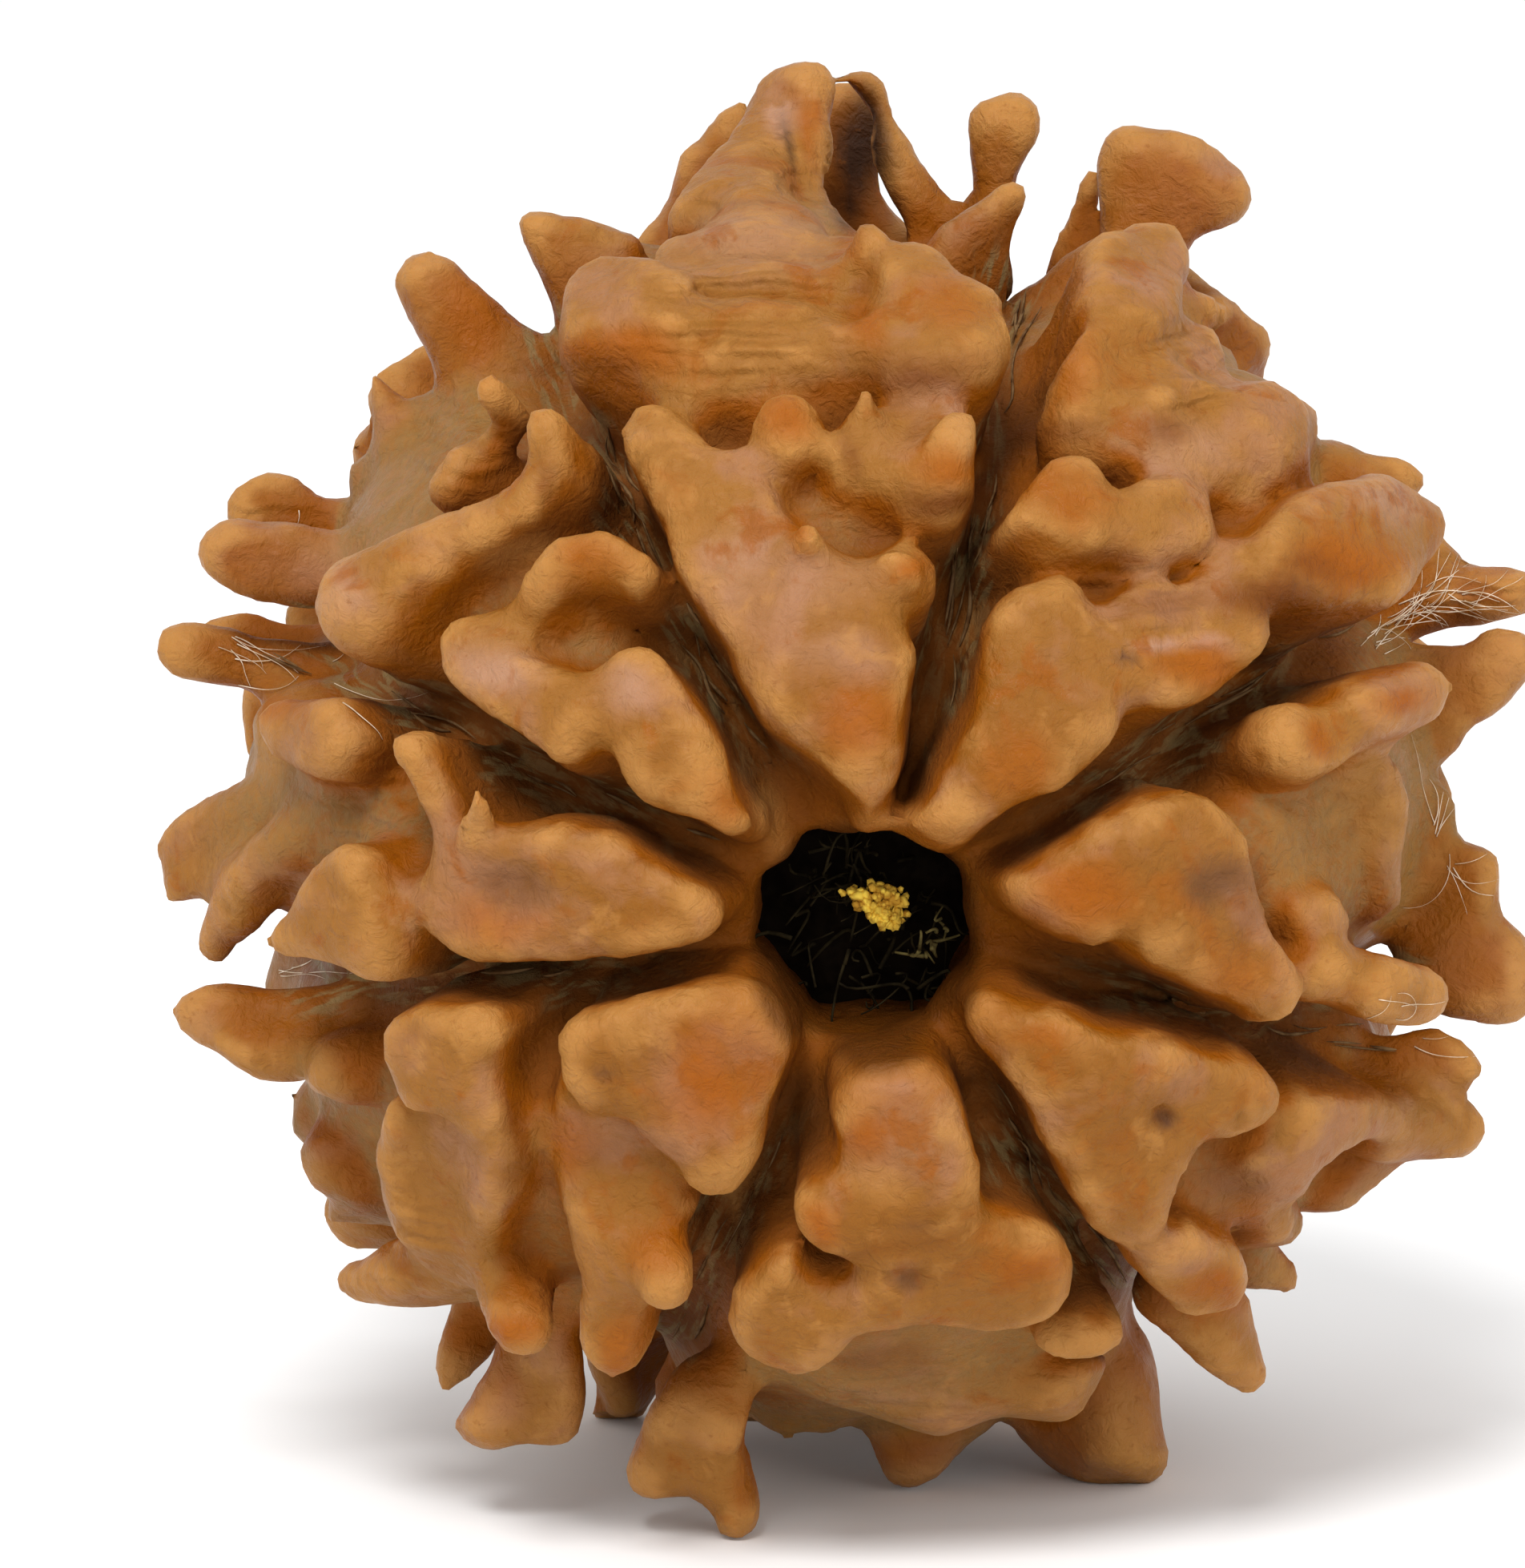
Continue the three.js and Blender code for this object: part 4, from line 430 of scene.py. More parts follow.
def outlineDistance(outline, x, y):
    nearest = np.full(x.shape, np.inf)
    inside = np.zeros(x.shape, bool)
    for (ax, ay), (bx, by) in zip(outline, np.roll(outline, 1, axis=0)):
        ex, ey = bx - ax, by - ay
        t = np.clip(((x - ax) * ex + (y - ay) * ey) / (ex * ex + ey * ey), 0, 1)
        nearest = np.minimum(nearest, np.hypot(x - ax - t * ex, y - ay - t * ey))
        if ey:
            inside ^= ((ay > y) != (by > y)) & (x < ax + (y - ay) / ey * ex)
    return np.where(inside, -nearest, nearest)


def roundedBlock(side, top, edge):
    a, b = side + edge, top + edge
    return np.minimum(np.maximum(a, b), 0) + np.hypot(np.maximum(a, 0), np.maximum(b, 0)) - edge


def mapAround(place):
    radius = np.linalg.norm(place)
    out = place / radius
    east = np.cross([0, 1, 0], out)
    east /= np.linalg.norm(east)
    north = np.cross(out, east)
    return lambda p: np.stack([p @ east, p @ north], axis=-1) * (radius / (p @ out))[..., None]


def heightOver(p):
    radius = np.linalg.norm(p, axis=1)
    return radius - ovalRadius(p / radius[:, None])


def plateShape(tops, rise, edge):
    toMap = mapAround(tops.mean(axis=0))
    outline = toMap(tops)

    def distance(p):
        flat = toMap(p)
        top = heightOver(p) - rise
        taper = stone["wallTaper"] * np.clip(-top, 0, stone["deepestWall"])
        side = outlineDistance(outline, flat[:, 0], flat[:, 1]) - stone["lip"] - taper
        return roundedBlock(side, top, edge)

    return {"distance": distance, "points": tops, "reach": 4, "rounding": stone["islandBlend"]}


def ridgeShape(tops, rises, widths):
    toMap = mapAround(tops.mean(axis=0))
    path = toMap(tops)

    def distance(p):
        flat = toMap(p)
        high = heightOver(p)
        best = np.full(len(p), np.inf)
        for i in range(len(path) - 1):
            e = path[i + 1] - path[i]
            t = np.clip((flat - path[i]) @ e / (e @ e), 0, 1)
            width = widths[i] + (widths[i + 1] - widths[i]) * t
            top = high - rises[i] - (rises[i + 1] - rises[i]) * t
            taper = stone["wallTaper"] * np.clip(-top, 0, stone["deepestWall"])
            side = np.linalg.norm(flat - path[i] - t[:, None] * e, axis=1) - width - taper
            best = np.minimum(best, roundedBlock(side, top, width * 0.85))
        return best

    return {"distance": distance, "points": tops, "reach": 4}


def fingerShape(points, radii):
    def distance(p):
        best = np.full(len(p), np.inf)
        for i in range(len(points) - 1):
            e = points[i + 1] - points[i]
            t = np.clip((p - points[i]) @ e / (e @ e), 0, 1)
            off = np.linalg.norm(p - points[i] - t[:, None] * e, axis=1)
            best = np.minimum(best, off - radii[i] - (radii[i + 1] - radii[i]) * t)
        return best

    return {"distance": distance, "points": points, "reach": 1 + max(radii)}


def inFace(outline):
    return (np.array(outline, float) - faceView["body"]) * (1, -1) / faceView["unitsPerMm"]


def paddleShape(outline, depth, thick):
    flat = inFace(outline)
    offset = (np.array(faceView["middle"]) - faceView["body"]) * (1, -1) / faceView["unitsPerMm"]

    def distance(p):
        near = p @ towardsEye
        scale = faceView["distance"] / (faceView["distance"] - near)
        x = (p - eye) @ viewRight * scale + offset[0]
        y = (p - eye) @ viewUp * scale + offset[1]
        return roundedBlock(outlineDistance(flat, x, y), np.abs(near - depth) - thick / 2, thick * 0.42)

    points = np.array([atDepth(x, y, depth) for x, y in outline])
    return {"distance": distance, "points": points, "reach": 1 + thick / 2}


def faceRelief():
    shapes = []
    for plate in plates:
        tops = np.array([atRise(x, y, plate["rise"]) for x, y in plate["outline"]])
        shapes.append(plateShape(tops, plate["rise"], stone["plateEdge"]))
    for line in ridges:
        tops = np.array([atRise(x, y, rise) for x, y, rise, width in line])
        shapes.append(ridgeShape(tops, [p[2] for p in line], [p[3] for p in line]))
    for line in fingers:
        tops = np.array([atRise(x, y, rise) for x, y, rise, r in line])
        shapes.append(fingerShape(tops, [p[3] for p in line]))
    for line in horns:
        tops = np.array([atDepth(x, y, depth) for x, y, depth, r in line])
        shapes.append(fingerShape(tops, [p[3] for p in line]))
    for paddle in paddles:
        shapes.append(paddleShape(paddle["outline"], paddle["depth"], paddle["thick"]))
    return shapes


def repeatableRandom(start):
    state = start
    while True:
        state = state * 48271 % 2147483647
        yield state / 2147483647


def toward(polar, turn):
    out = math.sin(polar)
    return np.array([out * math.cos(turn), -math.cos(polar), out * math.sin(turn)])


# A broad island on each face beside the far mouth: degrees off the showing mouth, and share of the face's
# width
farIsland = [(156, 0.5), (148, 0.26), (136, 0.2), (124, 0.22), (114, 0.34), (111, 0.52), (115, 0.7),
             (125, 0.8), (137, 0.8), (149, 0.72)]


def growIslands(between):
    islands = []
    for n, start in enumerate(clefts):
        width = (clefts[(n + 1) % len(clefts)] - start) % 360
        rise = between(1.7, 2.2)
        tops = []
        for fromMouth, share in farIsland:
            polar = math.radians(fromMouth + between(-3.5, 3.5))
            unit = toward(polar, math.radians(start + width * (share + between(-0.06, 0.06))))
            tops.append(unit * (ovalRadius(unit[None])[0] + rise))
        islands.append(plateShape(np.array(tops), rise, stone["islandEdge"]))
    return islands


# The rows of knobs on the half that faces away
knobRows = {
    "rows": 6,
    "first": 98,  # degrees off the showing mouth, and from row to row
    "step": 11,
    "margin": 1.6,  # bare ground beside the clefts, mm
    "spacing": 2.3,
    "radius": (0.45, 0.75),
    "rise": (0.7, 1.7),
    "ridgeWithin": 4.2,  # knobs nearer than this to their neighbour share a low ridge
}
# The hollow under the top arch, which stays open to the face view
archWindow = [(1035, 90), (1120, 90), (1150, 300), (1035, 300)]


def growKnobs(between, taken):
    def onStone(unit, rise):
        return unit * (bodyRadius(unit[None])[0] + rise)

    edge, window = inFace(skyline), inFace(archWindow)

    def depthIn(outline, v):
        return outlineDistance(outline, v[None] @ viewRight, v[None] @ viewUp)[0]

    knobs = []
    for n, start in enumerate(clefts):
        width = (clefts[(n + 1) % len(clefts)] - start) % 360
        last = None
        for row in range(knobRows["rows"]):
            fromMouth = math.radians(knobRows["first"] + knobRows["step"] * row)
            room = math.radians(width) * stone["girth"] * math.sin(fromMouth) - knobRows["margin"]
            count = max(1, int(room / knobRows["spacing"] + 0.5))
            for i in range(count):
                share = (i + 0.5 + between(-0.22, 0.22) + (0.25 if row % 2 else -0.25)) / count
                turn = math.radians(start + width * min(max(share, 0.14), 0.86))
                lean = between(-0.12, 0.12)
                polar = fromMouth + between(-0.06, 0.06)
                radius = between(*knobRows["radius"])
                rise = between(*knobRows["rise"])
                while rise > 0:
                    tip = onStone(toward(polar, turn + lean), rise)
                    if depthIn(edge, tip) < -radius - 0.1 and depthIn(window, tip) > radius:
                        break
                    rise -= 0.2
                foot = onStone(toward(polar, turn), -0.6)
                if rise <= 0 or any(s["distance"](tip[None])[0] < radius * 0.6 for s in taken):
                    continue
                knobs.append(fingerShape(np.array([foot, tip]), [radius * 1.5, radius]))
                if last is not None and np.linalg.norm(last - tip) < knobRows["ridgeWithin"]:
                    low = np.array([v * (1 - 0.5 / np.linalg.norm(v)) for v in (last, tip)])
                    knobs.append(fingerShape(low, [0.6, radius]))
                last = tip
    return knobs


# The stone's field on a grid, and a net of quads over it

def makeField():
    ticks = np.arange(-stone["span"], stone["span"] + stone["cell"], stone["cell"])
    size = len(ticks)
    values = np.empty((size, size, size), np.float32)
    for i, x in enumerate(ticks):  # a slice at a time keeps the memory small
        y, z = np.meshgrid(ticks, ticks, indexing="ij")
        p = np.stack([np.full(y.size, x), y.ravel(), z.ravel()], axis=1)
        radius = np.maximum(np.linalg.norm(p, axis=1), 1e-6)
        values[i] = (radius - bodyRadius(p / radius[:, None])).reshape(size, size)
    draws = repeatableRandom(stone["seed"])

    def between(low, high):
        return low + (high - low) * next(draws)

    shapes = faceRelief() + growIslands(between)
    for shape in shapes + growKnobs(between, shapes):
        low = shape["points"].min(axis=0) - shape["reach"]
        high = shape["points"].max(axis=0) + shape["reach"]
        first = np.clip(np.searchsorted(ticks, low), 0, size)
        last = np.clip(np.searchsorted(ticks, high), 0, size)
        window = tuple(slice(a, b) for a, b in zip(first, last))
        p = np.stack(np.meshgrid(*(ticks[w] for w in window), indexing="ij"), axis=-1)
        found = shape["distance"](p.reshape(-1, 3)).reshape(p.shape[:3])
        values[window] = smoothMin(values[window], found, shape.get("rounding", stone["blend"]))
    x, z = np.meshgrid(ticks - stone["boreAt"][0], ticks - stone["boreAt"][1], indexing="ij")
    nearCleft = np.exp(-((np.minimum(*besideClefts(x, z, 0)) / 9) ** 2))
    rim = stone["half"] - stone["funnelDepth"]
    for j, y in enumerate(ticks):
        t = min(max((abs(y) - rim + stone["mouthDepth"]) / (stone["mouthDepth"] / 2), 0), 1)
        wide = stone["mouthRadius"] + stone["mouthNotch"] * nearCleft
        radius = stone["boreRadius"] + (wide - stone["boreRadius"]) * t * t * (3 - 2 * t)
        values[:, j] = -smoothMin(-values[:, j], np.hypot(x, z) - radius, 0.4)
    for axis in range(3):  # clears slits that are thinner than a cell
        average = (np.roll(values, 1, axis) + 2 * values + np.roll(values, -1, axis)) / 4
        values = values + stone["softening"] * (average - values)
    values = np.maximum(values, -stone["floorDrop"] - ticks)  # worn flat where it lies
    return ticks, values


def netOver(ticks, values):
    inside = values < 0
    n = len(ticks) - 1
    corners = [(a, b, c) for a in (0, 1) for b in (0, 1) for c in (0, 1)]
    count = sum(inside[a:a + n, b:b + n, c:c + n].astype(int) for a, b, c in corners)
    crossed = (count > 0) & (count < 8)
    cells = np.argwhere(crossed)
    ids = np.zeros(crossed.shape, int)
    ids[crossed] = np.arange(len(cells))
    total = np.zeros((len(cells), 3))
    hits = np.zeros(len(cells))
    for axis in range(3):
        for du in (0, 1):
            for dv in (0, 1):
                a = cells.copy()
                a[:, (axis + 1) % 3] += du
                a[:, (axis + 2) % 3] += dv
                b = a.copy()
                b[:, axis] += 1
                va, vb = values[tuple(a.T)], values[tuple(b.T)]
                hit = (va < 0) != (vb < 0)
                t = np.where(hit, va / np.where(hit, va - vb, 1), 0)
                place = a.astype(float)
                place[:, axis] += t
                total += place * hit[:, None]
                hits += hit
    points = ticks[0] + stone["cell"] * total / hits[:, None]
    quads = []
    for axis in range(3):
        low = inside[tuple(slice(0, n) if k == axis else slice(None) for k in range(3))]
        high = inside[tuple(slice(1, n + 1) if k == axis else slice(None) for k in range(3))]
        nodes = np.argwhere(low != high)
        u, v = np.zeros(3, int), np.zeros(3, int)
        u[(axis + 1) % 3] = 1
        v[(axis + 2) % 3] = 1
        ring = np.stack([ids[tuple((nodes - s).T)] for s in (0 * u, u, u + v, v)], axis=1)
        outward = low[tuple(nodes.T)]
        quads.append(np.where(outward[:, None], ring, ring[:, ::-1]))
    return points, np.concatenate(quads)


def largestPiece(points, quads):
    label = np.arange(len(points))
    while True:  # the lowest label spreads over each connected piece
        least = label[quads].min(axis=1)
        new = label.copy()
        np.minimum.at(new, quads.ravel(), np.repeat(least, 4))
        new = new[new]
        if (new == label).all():
            break
        label = new
    main = np.bincount(label).argmax()
    kept = label == main
    renumber = np.cumsum(kept) - 1
    return points[kept], renumber[quads[kept[quads[:, 0]]]]


def relaxed(points, quads, steps, amount=0.6):
    a = quads.ravel()
    b = np.roll(quads, -1, axis=1).ravel()
    size = len(points)
    count = np.bincount(a, minlength=size) + np.bincount(b, minlength=size)
    out = points.copy()
    for _ in range(steps):
        around = [np.bincount(a, out[b, k], size) + np.bincount(b, out[a, k], size) for k in range(3)]
        out += amount * (np.stack(around, axis=1) / count[:, None] - out)
    return out


def smoothed(values, quads, steps):
    a = quads.ravel()
    b = np.roll(quads, -1, axis=1).ravel()
    size = len(values)
    count = np.bincount(a, minlength=size) + np.bincount(b, minlength=size)
    for _ in range(steps):
        around = (np.bincount(a, values[b], size) + np.bincount(b, values[a], size)) / count
        values = (values + around) / 2
    return values


def pointNormals(points, quads):
    corners = points[quads]
    faceNormal = np.cross(corners[:, 2] - corners[:, 0], corners[:, 3] - corners[:, 1])
    ends, size = quads.ravel(), len(points)
    total = np.stack([np.bincount(ends, np.repeat(faceNormal[:, k], 4), size) for k in range(3)], axis=1)
    return total / np.maximum(np.linalg.norm(total, axis=1), 1e-12)[:, None]


def spotsAt(points, normals, spots, deepest=0):
    # How strongly each point of the stone is marked by spots, on the side that the face view shows
    near = points @ towardsEye
    scale = faceView["distance"] / (faceView["distance"] - near) * faceView["unitsPerMm"]
    x = faceView["middle"][0] + (points - eye) @ viewRight * scale
    y = faceView["middle"][1] - (points - eye) @ viewUp * scale
    # Their edges wander by a few units
    x += 10 * np.sin(points[:, 0] * 3.1 + points[:, 2] * 2.3)
    y += 10 * np.sin(points[:, 2] * 2.7 - points[:, 0] * 1.9)
    total = np.zeros(len(points))
    for cx, cy, wide, high, strength in spots:
        apart = np.hypot((x - cx) / wide, (y - cy) / high)
        total = np.maximum(total, strength * np.exp(-(apart ** 3)))
    return total * (near > deepest) * np.clip(normals @ towardsEye * 4, 0, 1)


lumps = {
    "broad": (1.6, 0.20),  # size and height of each layer of unevenness, mm
    "small": (0.65, 0.06),
    "fine": (0.28, 0.024),
    "behind": (1.3, 0.42),  # more of it on the side away from the face view
}
# Wrinkled places, with how strongly each one is, and pits, with their depth in mm:
# x, y, half width and half height in the face view
wrinkles = [(930, 380, 130, 90, 1.0), (940, 250, 80, 60, 0.8), (1500, 470, 90, 70, 0.7),
            (330, 640, 60, 40, 0.5), (1480, 810, 60, 30, 0.5), (460, 1000, 60, 60, 0.5),
            (560, 560, 60, 50, 0.6), (1840, 745, 70, 30, 0.9), (1430, 740, 80, 40, 0.6),
            (1690, 990, 60, 60, 0.4), (520, 1560, 60, 60, 0.5), (1150, 1740, 120, 40, 0.4)]
pits = [(1455, 1395, 12, 11, 0.25), (1140, 1603, 18, 11, 0.18), (1150, 1520, 26, 10, 0.12),
        (1415, 815, 15, 10, 0.15), (1520, 1110, 26, 34, 0.16), (640, 1112, 40, 22, 0.16),
        (770, 1345, 12, 8, 0.10), (1350, 1330, 8, 6, 0.08), (1290, 1330, 6, 6, 0.08),
        (820, 1330, 9, 6, 0.08), (1555, 1400, 12, 10, 0.10), (905, 1000, 12, 16, 0.08)]


def lumpy(points, normals):
    out = points.copy()
    behind = smoothStep(points @ towardsEye, 1.5, -2.5)
    for n, (name, (size, height)) in enumerate(lumps.items()):
        shift = Vector((17.0 * n, 5.0, 3.0))
        noise = np.array([mathutils.noise.noise(Vector(p) / size + shift) for p in points])
        out += normals * (height * noise * (behind if name == "behind" else 1))[:, None]
    wave = np.sin(points[:, 2] * 11 + 1.5 * np.sin(points[:, 0] * 1.7) + points[:, 0] * 1.1)
    out += normals * (0.06 * spotsAt(points, normals, wrinkles) * wave)[:, None]
    return out - normals * spotsAt(points, normals, pits)[:, None]


openness = {
    "rays": 14,
    "reach": 2.6,  # how far away a wall still shades a point, mm
}


def opennessAt(points, quads, normals):
    # The share of the sky over each point that no nearby wall hides
    tree = BVHTree.FromPolygons(points.tolist(), quads.tolist())
    draw = np.random.default_rng(3)
    aims = draw.normal(size=(openness["rays"], 3))
    aims /= np.linalg.norm(aims, axis=1)[:, None]
    seen = np.empty(len(points))
    starts = points + normals * 0.06
    for n, (start, normal) in enumerate(zip(starts.tolist(), normals)):
        fan = (aims + normal * 1.05).tolist()
        seen[n] = sum(tree.ray_cast(start, ray, openness["reach"])[0] is None for ray in fan) / len(fan)
    return seen


# Marks on the tops, in the face view: x, y, half width and half height, and how strong each one is. Plum
# marks are stains; the other lists are partly or wholly painted light or shade, as noted on each
stainsAndPaintedLight = {
    # Amber marks: partly the stone's own tone, partly painted glow on the undersides and concave ends of
    # knobs
    "amber": [(1068, 290, 20, 24, 0.7), (1180, 375, 45, 26, 0.6), (1345, 460, 22, 50, 0.7),
              (1340, 620, 50, 30, 0.5), (1075, 900, 45, 60, 0.8), (885, 1350, 55, 70, 0.9),
              (1080, 1420, 40, 35, 0.9), (1022, 1530, 30, 22, 0.9), (1290, 1580, 40, 30, 0.8),
              (1345, 1120, 65, 40, 0.9), (1545, 1220, 60, 45, 0.6), (1300, 1300, 50, 18, 0.7),
              (620, 1150, 60, 30, 0.6), (900, 1000, 30, 40, 0.7), (1290, 600, 40, 40, 0.7),
              (1000, 670, 20, 20, 0.9), (1135, 715, 30, 20, 0.9), (1500, 835, 60, 25, 0.9),
              (1180, 580, 40, 22, 0.9), (1270, 960, 40, 60, 0.6), (1680, 700, 60, 30, 0.9),
              (1750, 870, 45, 20, 0.8), (1655, 920, 22, 20, 0.8), (1075, 410, 30, 30, 0.8),
              (740, 440, 60, 22, 0.9), (340, 890, 40, 20, 0.7), (690, 1620, 40, 60, 0.5),
              (1020, 150, 14, 60, 0.8), (715, 1430, 30, 40, 0.7), (600, 400, 40, 60, 0.8),
              (780, 440, 80, 28, 0.9), (975, 520, 35, 25, 0.9), (830, 1560, 50, 40, 0.7),
              (640, 1655, 40, 30, 0.9), (780, 1690, 25, 50, 0.8), (740, 700, 50, 25, 0.7),
              (1510, 1610, 40, 25, 0.8)],
    # Near-black painted shade in the recess under the top arch and in a thin groove beside it
    "soot": [(1076, 185, 32, 85, 1.0), (1062, 250, 24, 36, 0.9), (985, 180, 8, 45, 0.7)],
    "plum": [(1520, 1105, 36, 42, 0.8), (640, 1110, 45, 26, 0.6), (1455, 1395, 11, 9, 1.0),
             (1140, 1605, 18, 11, 0.7), (1410, 815, 18, 12, 0.7), (1140, 1530, 30, 16, 0.4),
             (760, 1350, 20, 12, 0.6), (1540, 1470, 40, 20, 0.5)],
    # Lighter honey patches; some are painted bounce light on the undersides of knobs
    "honey": [(1130, 1018, 75, 14, 0.9), (965, 1030, 25, 45, 0.8), (925, 1480, 16, 60, 0.7),
              (1215, 1120, 20, 60, 0.3), (650, 700, 50, 30, 0.6), (1400, 1780, 40, 50, 0.7),
              (1860, 830, 40, 40, 0.5), (1205, 780, 12, 50, 0.35), (540, 1208, 70, 10, 0.3),
              (1690, 990, 40, 70, 0.3), (1090, 1480, 50, 18, 0.5), (880, 560, 30, 14, 0.4),
              (1060, 1340, 20, 30, 0.4), (320, 930, 50, 30, 0.4), (1010, 1295, 20, 14, 0.4)],
    # Painted shade under knobs, under islands and in hollows
    "umber": [(1155, 462, 95, 34, 0.7), (1190, 625, 60, 24, 0.9), (1060, 570, 16, 40, 0.6),
              (1370, 700, 60, 16, 0.6), (1400, 1264, 70, 12, 0.6), (1490, 1292, 60, 12, 0.6),
              (640, 560, 22, 26, 0.6), (690, 600, 16, 40, 0.5), (730, 740, 46, 18, 0.6),
              (1120, 1560, 70, 12, 0.3), (1010, 480, 60, 12, 0.3), (870, 1600, 14, 50, 0.4),
              (1600, 752, 75, 34, 0.9), (1640, 712, 60, 16, 0.5), (1330, 545, 60, 22, 0.7),
              (640, 1430, 22, 60, 0.5), (1450, 745, 110, 22, 0.35), (1560, 1140, 14, 60, 0.3),
              (1340, 1170, 60, 12, 0.3), (1100, 1700, 60, 26, 0.5), (520, 1290, 20, 20, 0.2),
              (760, 1440, 60, 30, 0.25), (1450, 530, 30, 16, 0.6), (740, 470, 70, 18, 0.4)],
    # Painted highlights: pinkish sheen on the tops
    "roseSheen": [(1060, 820, 60, 26, 0.45), (1015, 720, 90, 50, 0.25), (920, 720, 40, 60, 0.35),
             (620, 830, 60, 30, 0.7), (1470, 810, 70, 10, 0.9), (1205, 525, 20, 45, 0.5),
             (1240, 700, 40, 25, 0.5), (400, 735, 50, 40, 0.7), (780, 850, 30, 30, 0.6),
             (1110, 1350, 40, 12, 0.8), (975, 120, 22, 50, 0.8), (420, 1420, 50, 30, 0.6),
             (600, 1740, 40, 40, 0.6), (1740, 620, 60, 30, 0.5), (1480, 560, 70, 40, 0.4),
             (930, 300, 90, 40, 0.4)],
}


def makeStone():
    points, quads = largestPiece(*netOver(*makeField()))
    points = relaxed(points, quads, 2, 0.5)
    normals = pointNormals(points, quads)
    points = lumpy(points, normals)
    print("stone:", len(quads), "quads")

    # What the finish needs to know at each point
    normals = pointNormals(points, quads)
    radius = np.linalg.norm(points, axis=1)
    unit = points / radius[:, None]
    oval = ovalRadius(unit)
    away = fromCleft(unit, oval)[2]
    fine = np.einsum("ij,ij->i", relaxed(points, quads, 9) - points, normals)
    wide = np.einsum("ij,ij->i", relaxed(points, quads, 46) - points, normals)
    facts = {
        "openness": smoothed(opennessAt(points, quads, normals), quads, 4),
        "amberStain": spotsAt(points, normals, stainsAndPaintedLight["amber"]),
        "plumStain": spotsAt(points, normals, stainsAndPaintedLight["plum"]),
        "umberStain": spotsAt(points, normals, stainsAndPaintedLight["umber"]),
        "honeyStain": spotsAt(points, normals, stainsAndPaintedLight["honey"], -2),
        "wrinkled": spotsAt(points, normals, wrinkles),
        "roseStain": spotsAt(points, normals, stainsAndPaintedLight["roseSheen"]),
        "sootStain": spotsAt(points, normals, stainsAndPaintedLight["soot"], -4.5),
        "rise": radius - oval,
        "away": away,
        "fineHollow": fine,
        "wideHollow": wide,
        "outward": np.einsum("ij,ij->i", unit, normals),
        "fromBore": np.hypot(points[:, 0] - stone["boreAt"][0], points[:, 2] - stone["boreAt"][1]),
    }
    low, high = points.min(axis=0), points.max(axis=0)
    centre = (low + high) / 2
    place = np.array([-centre[0], -centre[1], stone["floorDrop"]])
    points = points + place
    points[:, 2] = np.maximum(points[:, 2], 0)

    mesh = bpy.data.meshes.new("beadStone")
    mesh.from_pydata(points * mm, [], quads)
    mesh.polygons.foreach_set("use_smooth", [True] * len(mesh.polygons))
    for name, values in facts.items():
        mesh.attributes.new(name, "FLOAT", "POINT").data.foreach_set("value", values.astype(np.float32))
    piece = bpy.data.objects.new("beadStone", mesh)
    bpy.context.scene.collection.objects.link(piece)
    return piece, Vector(place)


bead, bodyCentre = makeStone()
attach(bead, "root")
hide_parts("bead")
print("bead stone made")


# Finishes

def newGroup(name, inputs, outputs):
    group = bpy.data.node_groups.new(name, "ShaderNodeTree")
    for label, kind, default in inputs:
        socket = group.interface.new_socket(label, in_out="INPUT", socket_type=kind)
        if default is not None:
            socket.default_value = default
    for label, kind in outputs:
        group.interface.new_socket(label, in_out="OUTPUT", socket_type=kind)
    nodes = group.nodes
    return group, nodes.new("NodeGroupInput"), nodes.new("NodeGroupOutput")


def mathNode(tree, operation, a, b=0.0, clamp=False):
    node = tree.nodes.new("ShaderNodeMath")
    node.operation = operation
    node.use_clamp = clamp
    for socket, value in zip(node.inputs, (a, b)):
        if isinstance(value, bpy.types.NodeSocket):
            tree.links.new(value, socket)
        else:
            socket.default_value = value
    return node.outputs[0]


def ramp(tree, value, low, high, toLow=0.0, toHigh=1.0):
    node = tree.nodes.new("ShaderNodeMapRange")
    node.interpolation_type = "SMOOTHSTEP"
    labels = ("Value", "From Min", "From Max", "To Min", "To Max")
    for label, given in zip(labels, (value, low, high, toLow, toHigh)):
        if isinstance(given, bpy.types.NodeSocket):
            tree.links.new(given, node.inputs[label])
        else:
            node.inputs[label].default_value = given
    return node.outputs[0]


def mixColour(tree, share, a, b, mode="MIX"):
    node = tree.nodes.new("ShaderNodeMix")
    node.data_type = "RGBA"
    node.blend_type = mode
    for socket, value in ((node.inputs[0], share), (node.inputs[6], a), (node.inputs[7], b)):
        if isinstance(value, bpy.types.NodeSocket):
            tree.links.new(value, socket)
        else:
            socket.default_value = value
    return node.outputs[2]


def noiseNode(tree, coordinates, scale, detail=3.0, rough=0.55, warp=0.0):
    node = tree.nodes.new("ShaderNodeTexNoise")
    node.inputs["Scale"].default_value = scale
    node.inputs["Detail"].default_value = detail
    node.inputs["Roughness"].default_value = rough
    node.inputs["Distortion"].default_value = warp
    tree.links.new(coordinates, node.inputs["Vector"])
    return node.outputs["Fac"]


def attribute(tree, name):
    node = tree.nodes.new("ShaderNodeAttribute")
    node.attribute_name = name
    return node.outputs["Fac"]


def placeInMm(tree):
    coordinates = tree.nodes.new("ShaderNodeTexCoord").outputs["Object"]
    scale = tree.nodes.new("ShaderNodeVectorMath")
    scale.operation = "SCALE"
    scale.inputs["Scale"].default_value = 1 / mm
    tree.links.new(coordinates, scale.inputs[0])
    return scale.outputs[0]


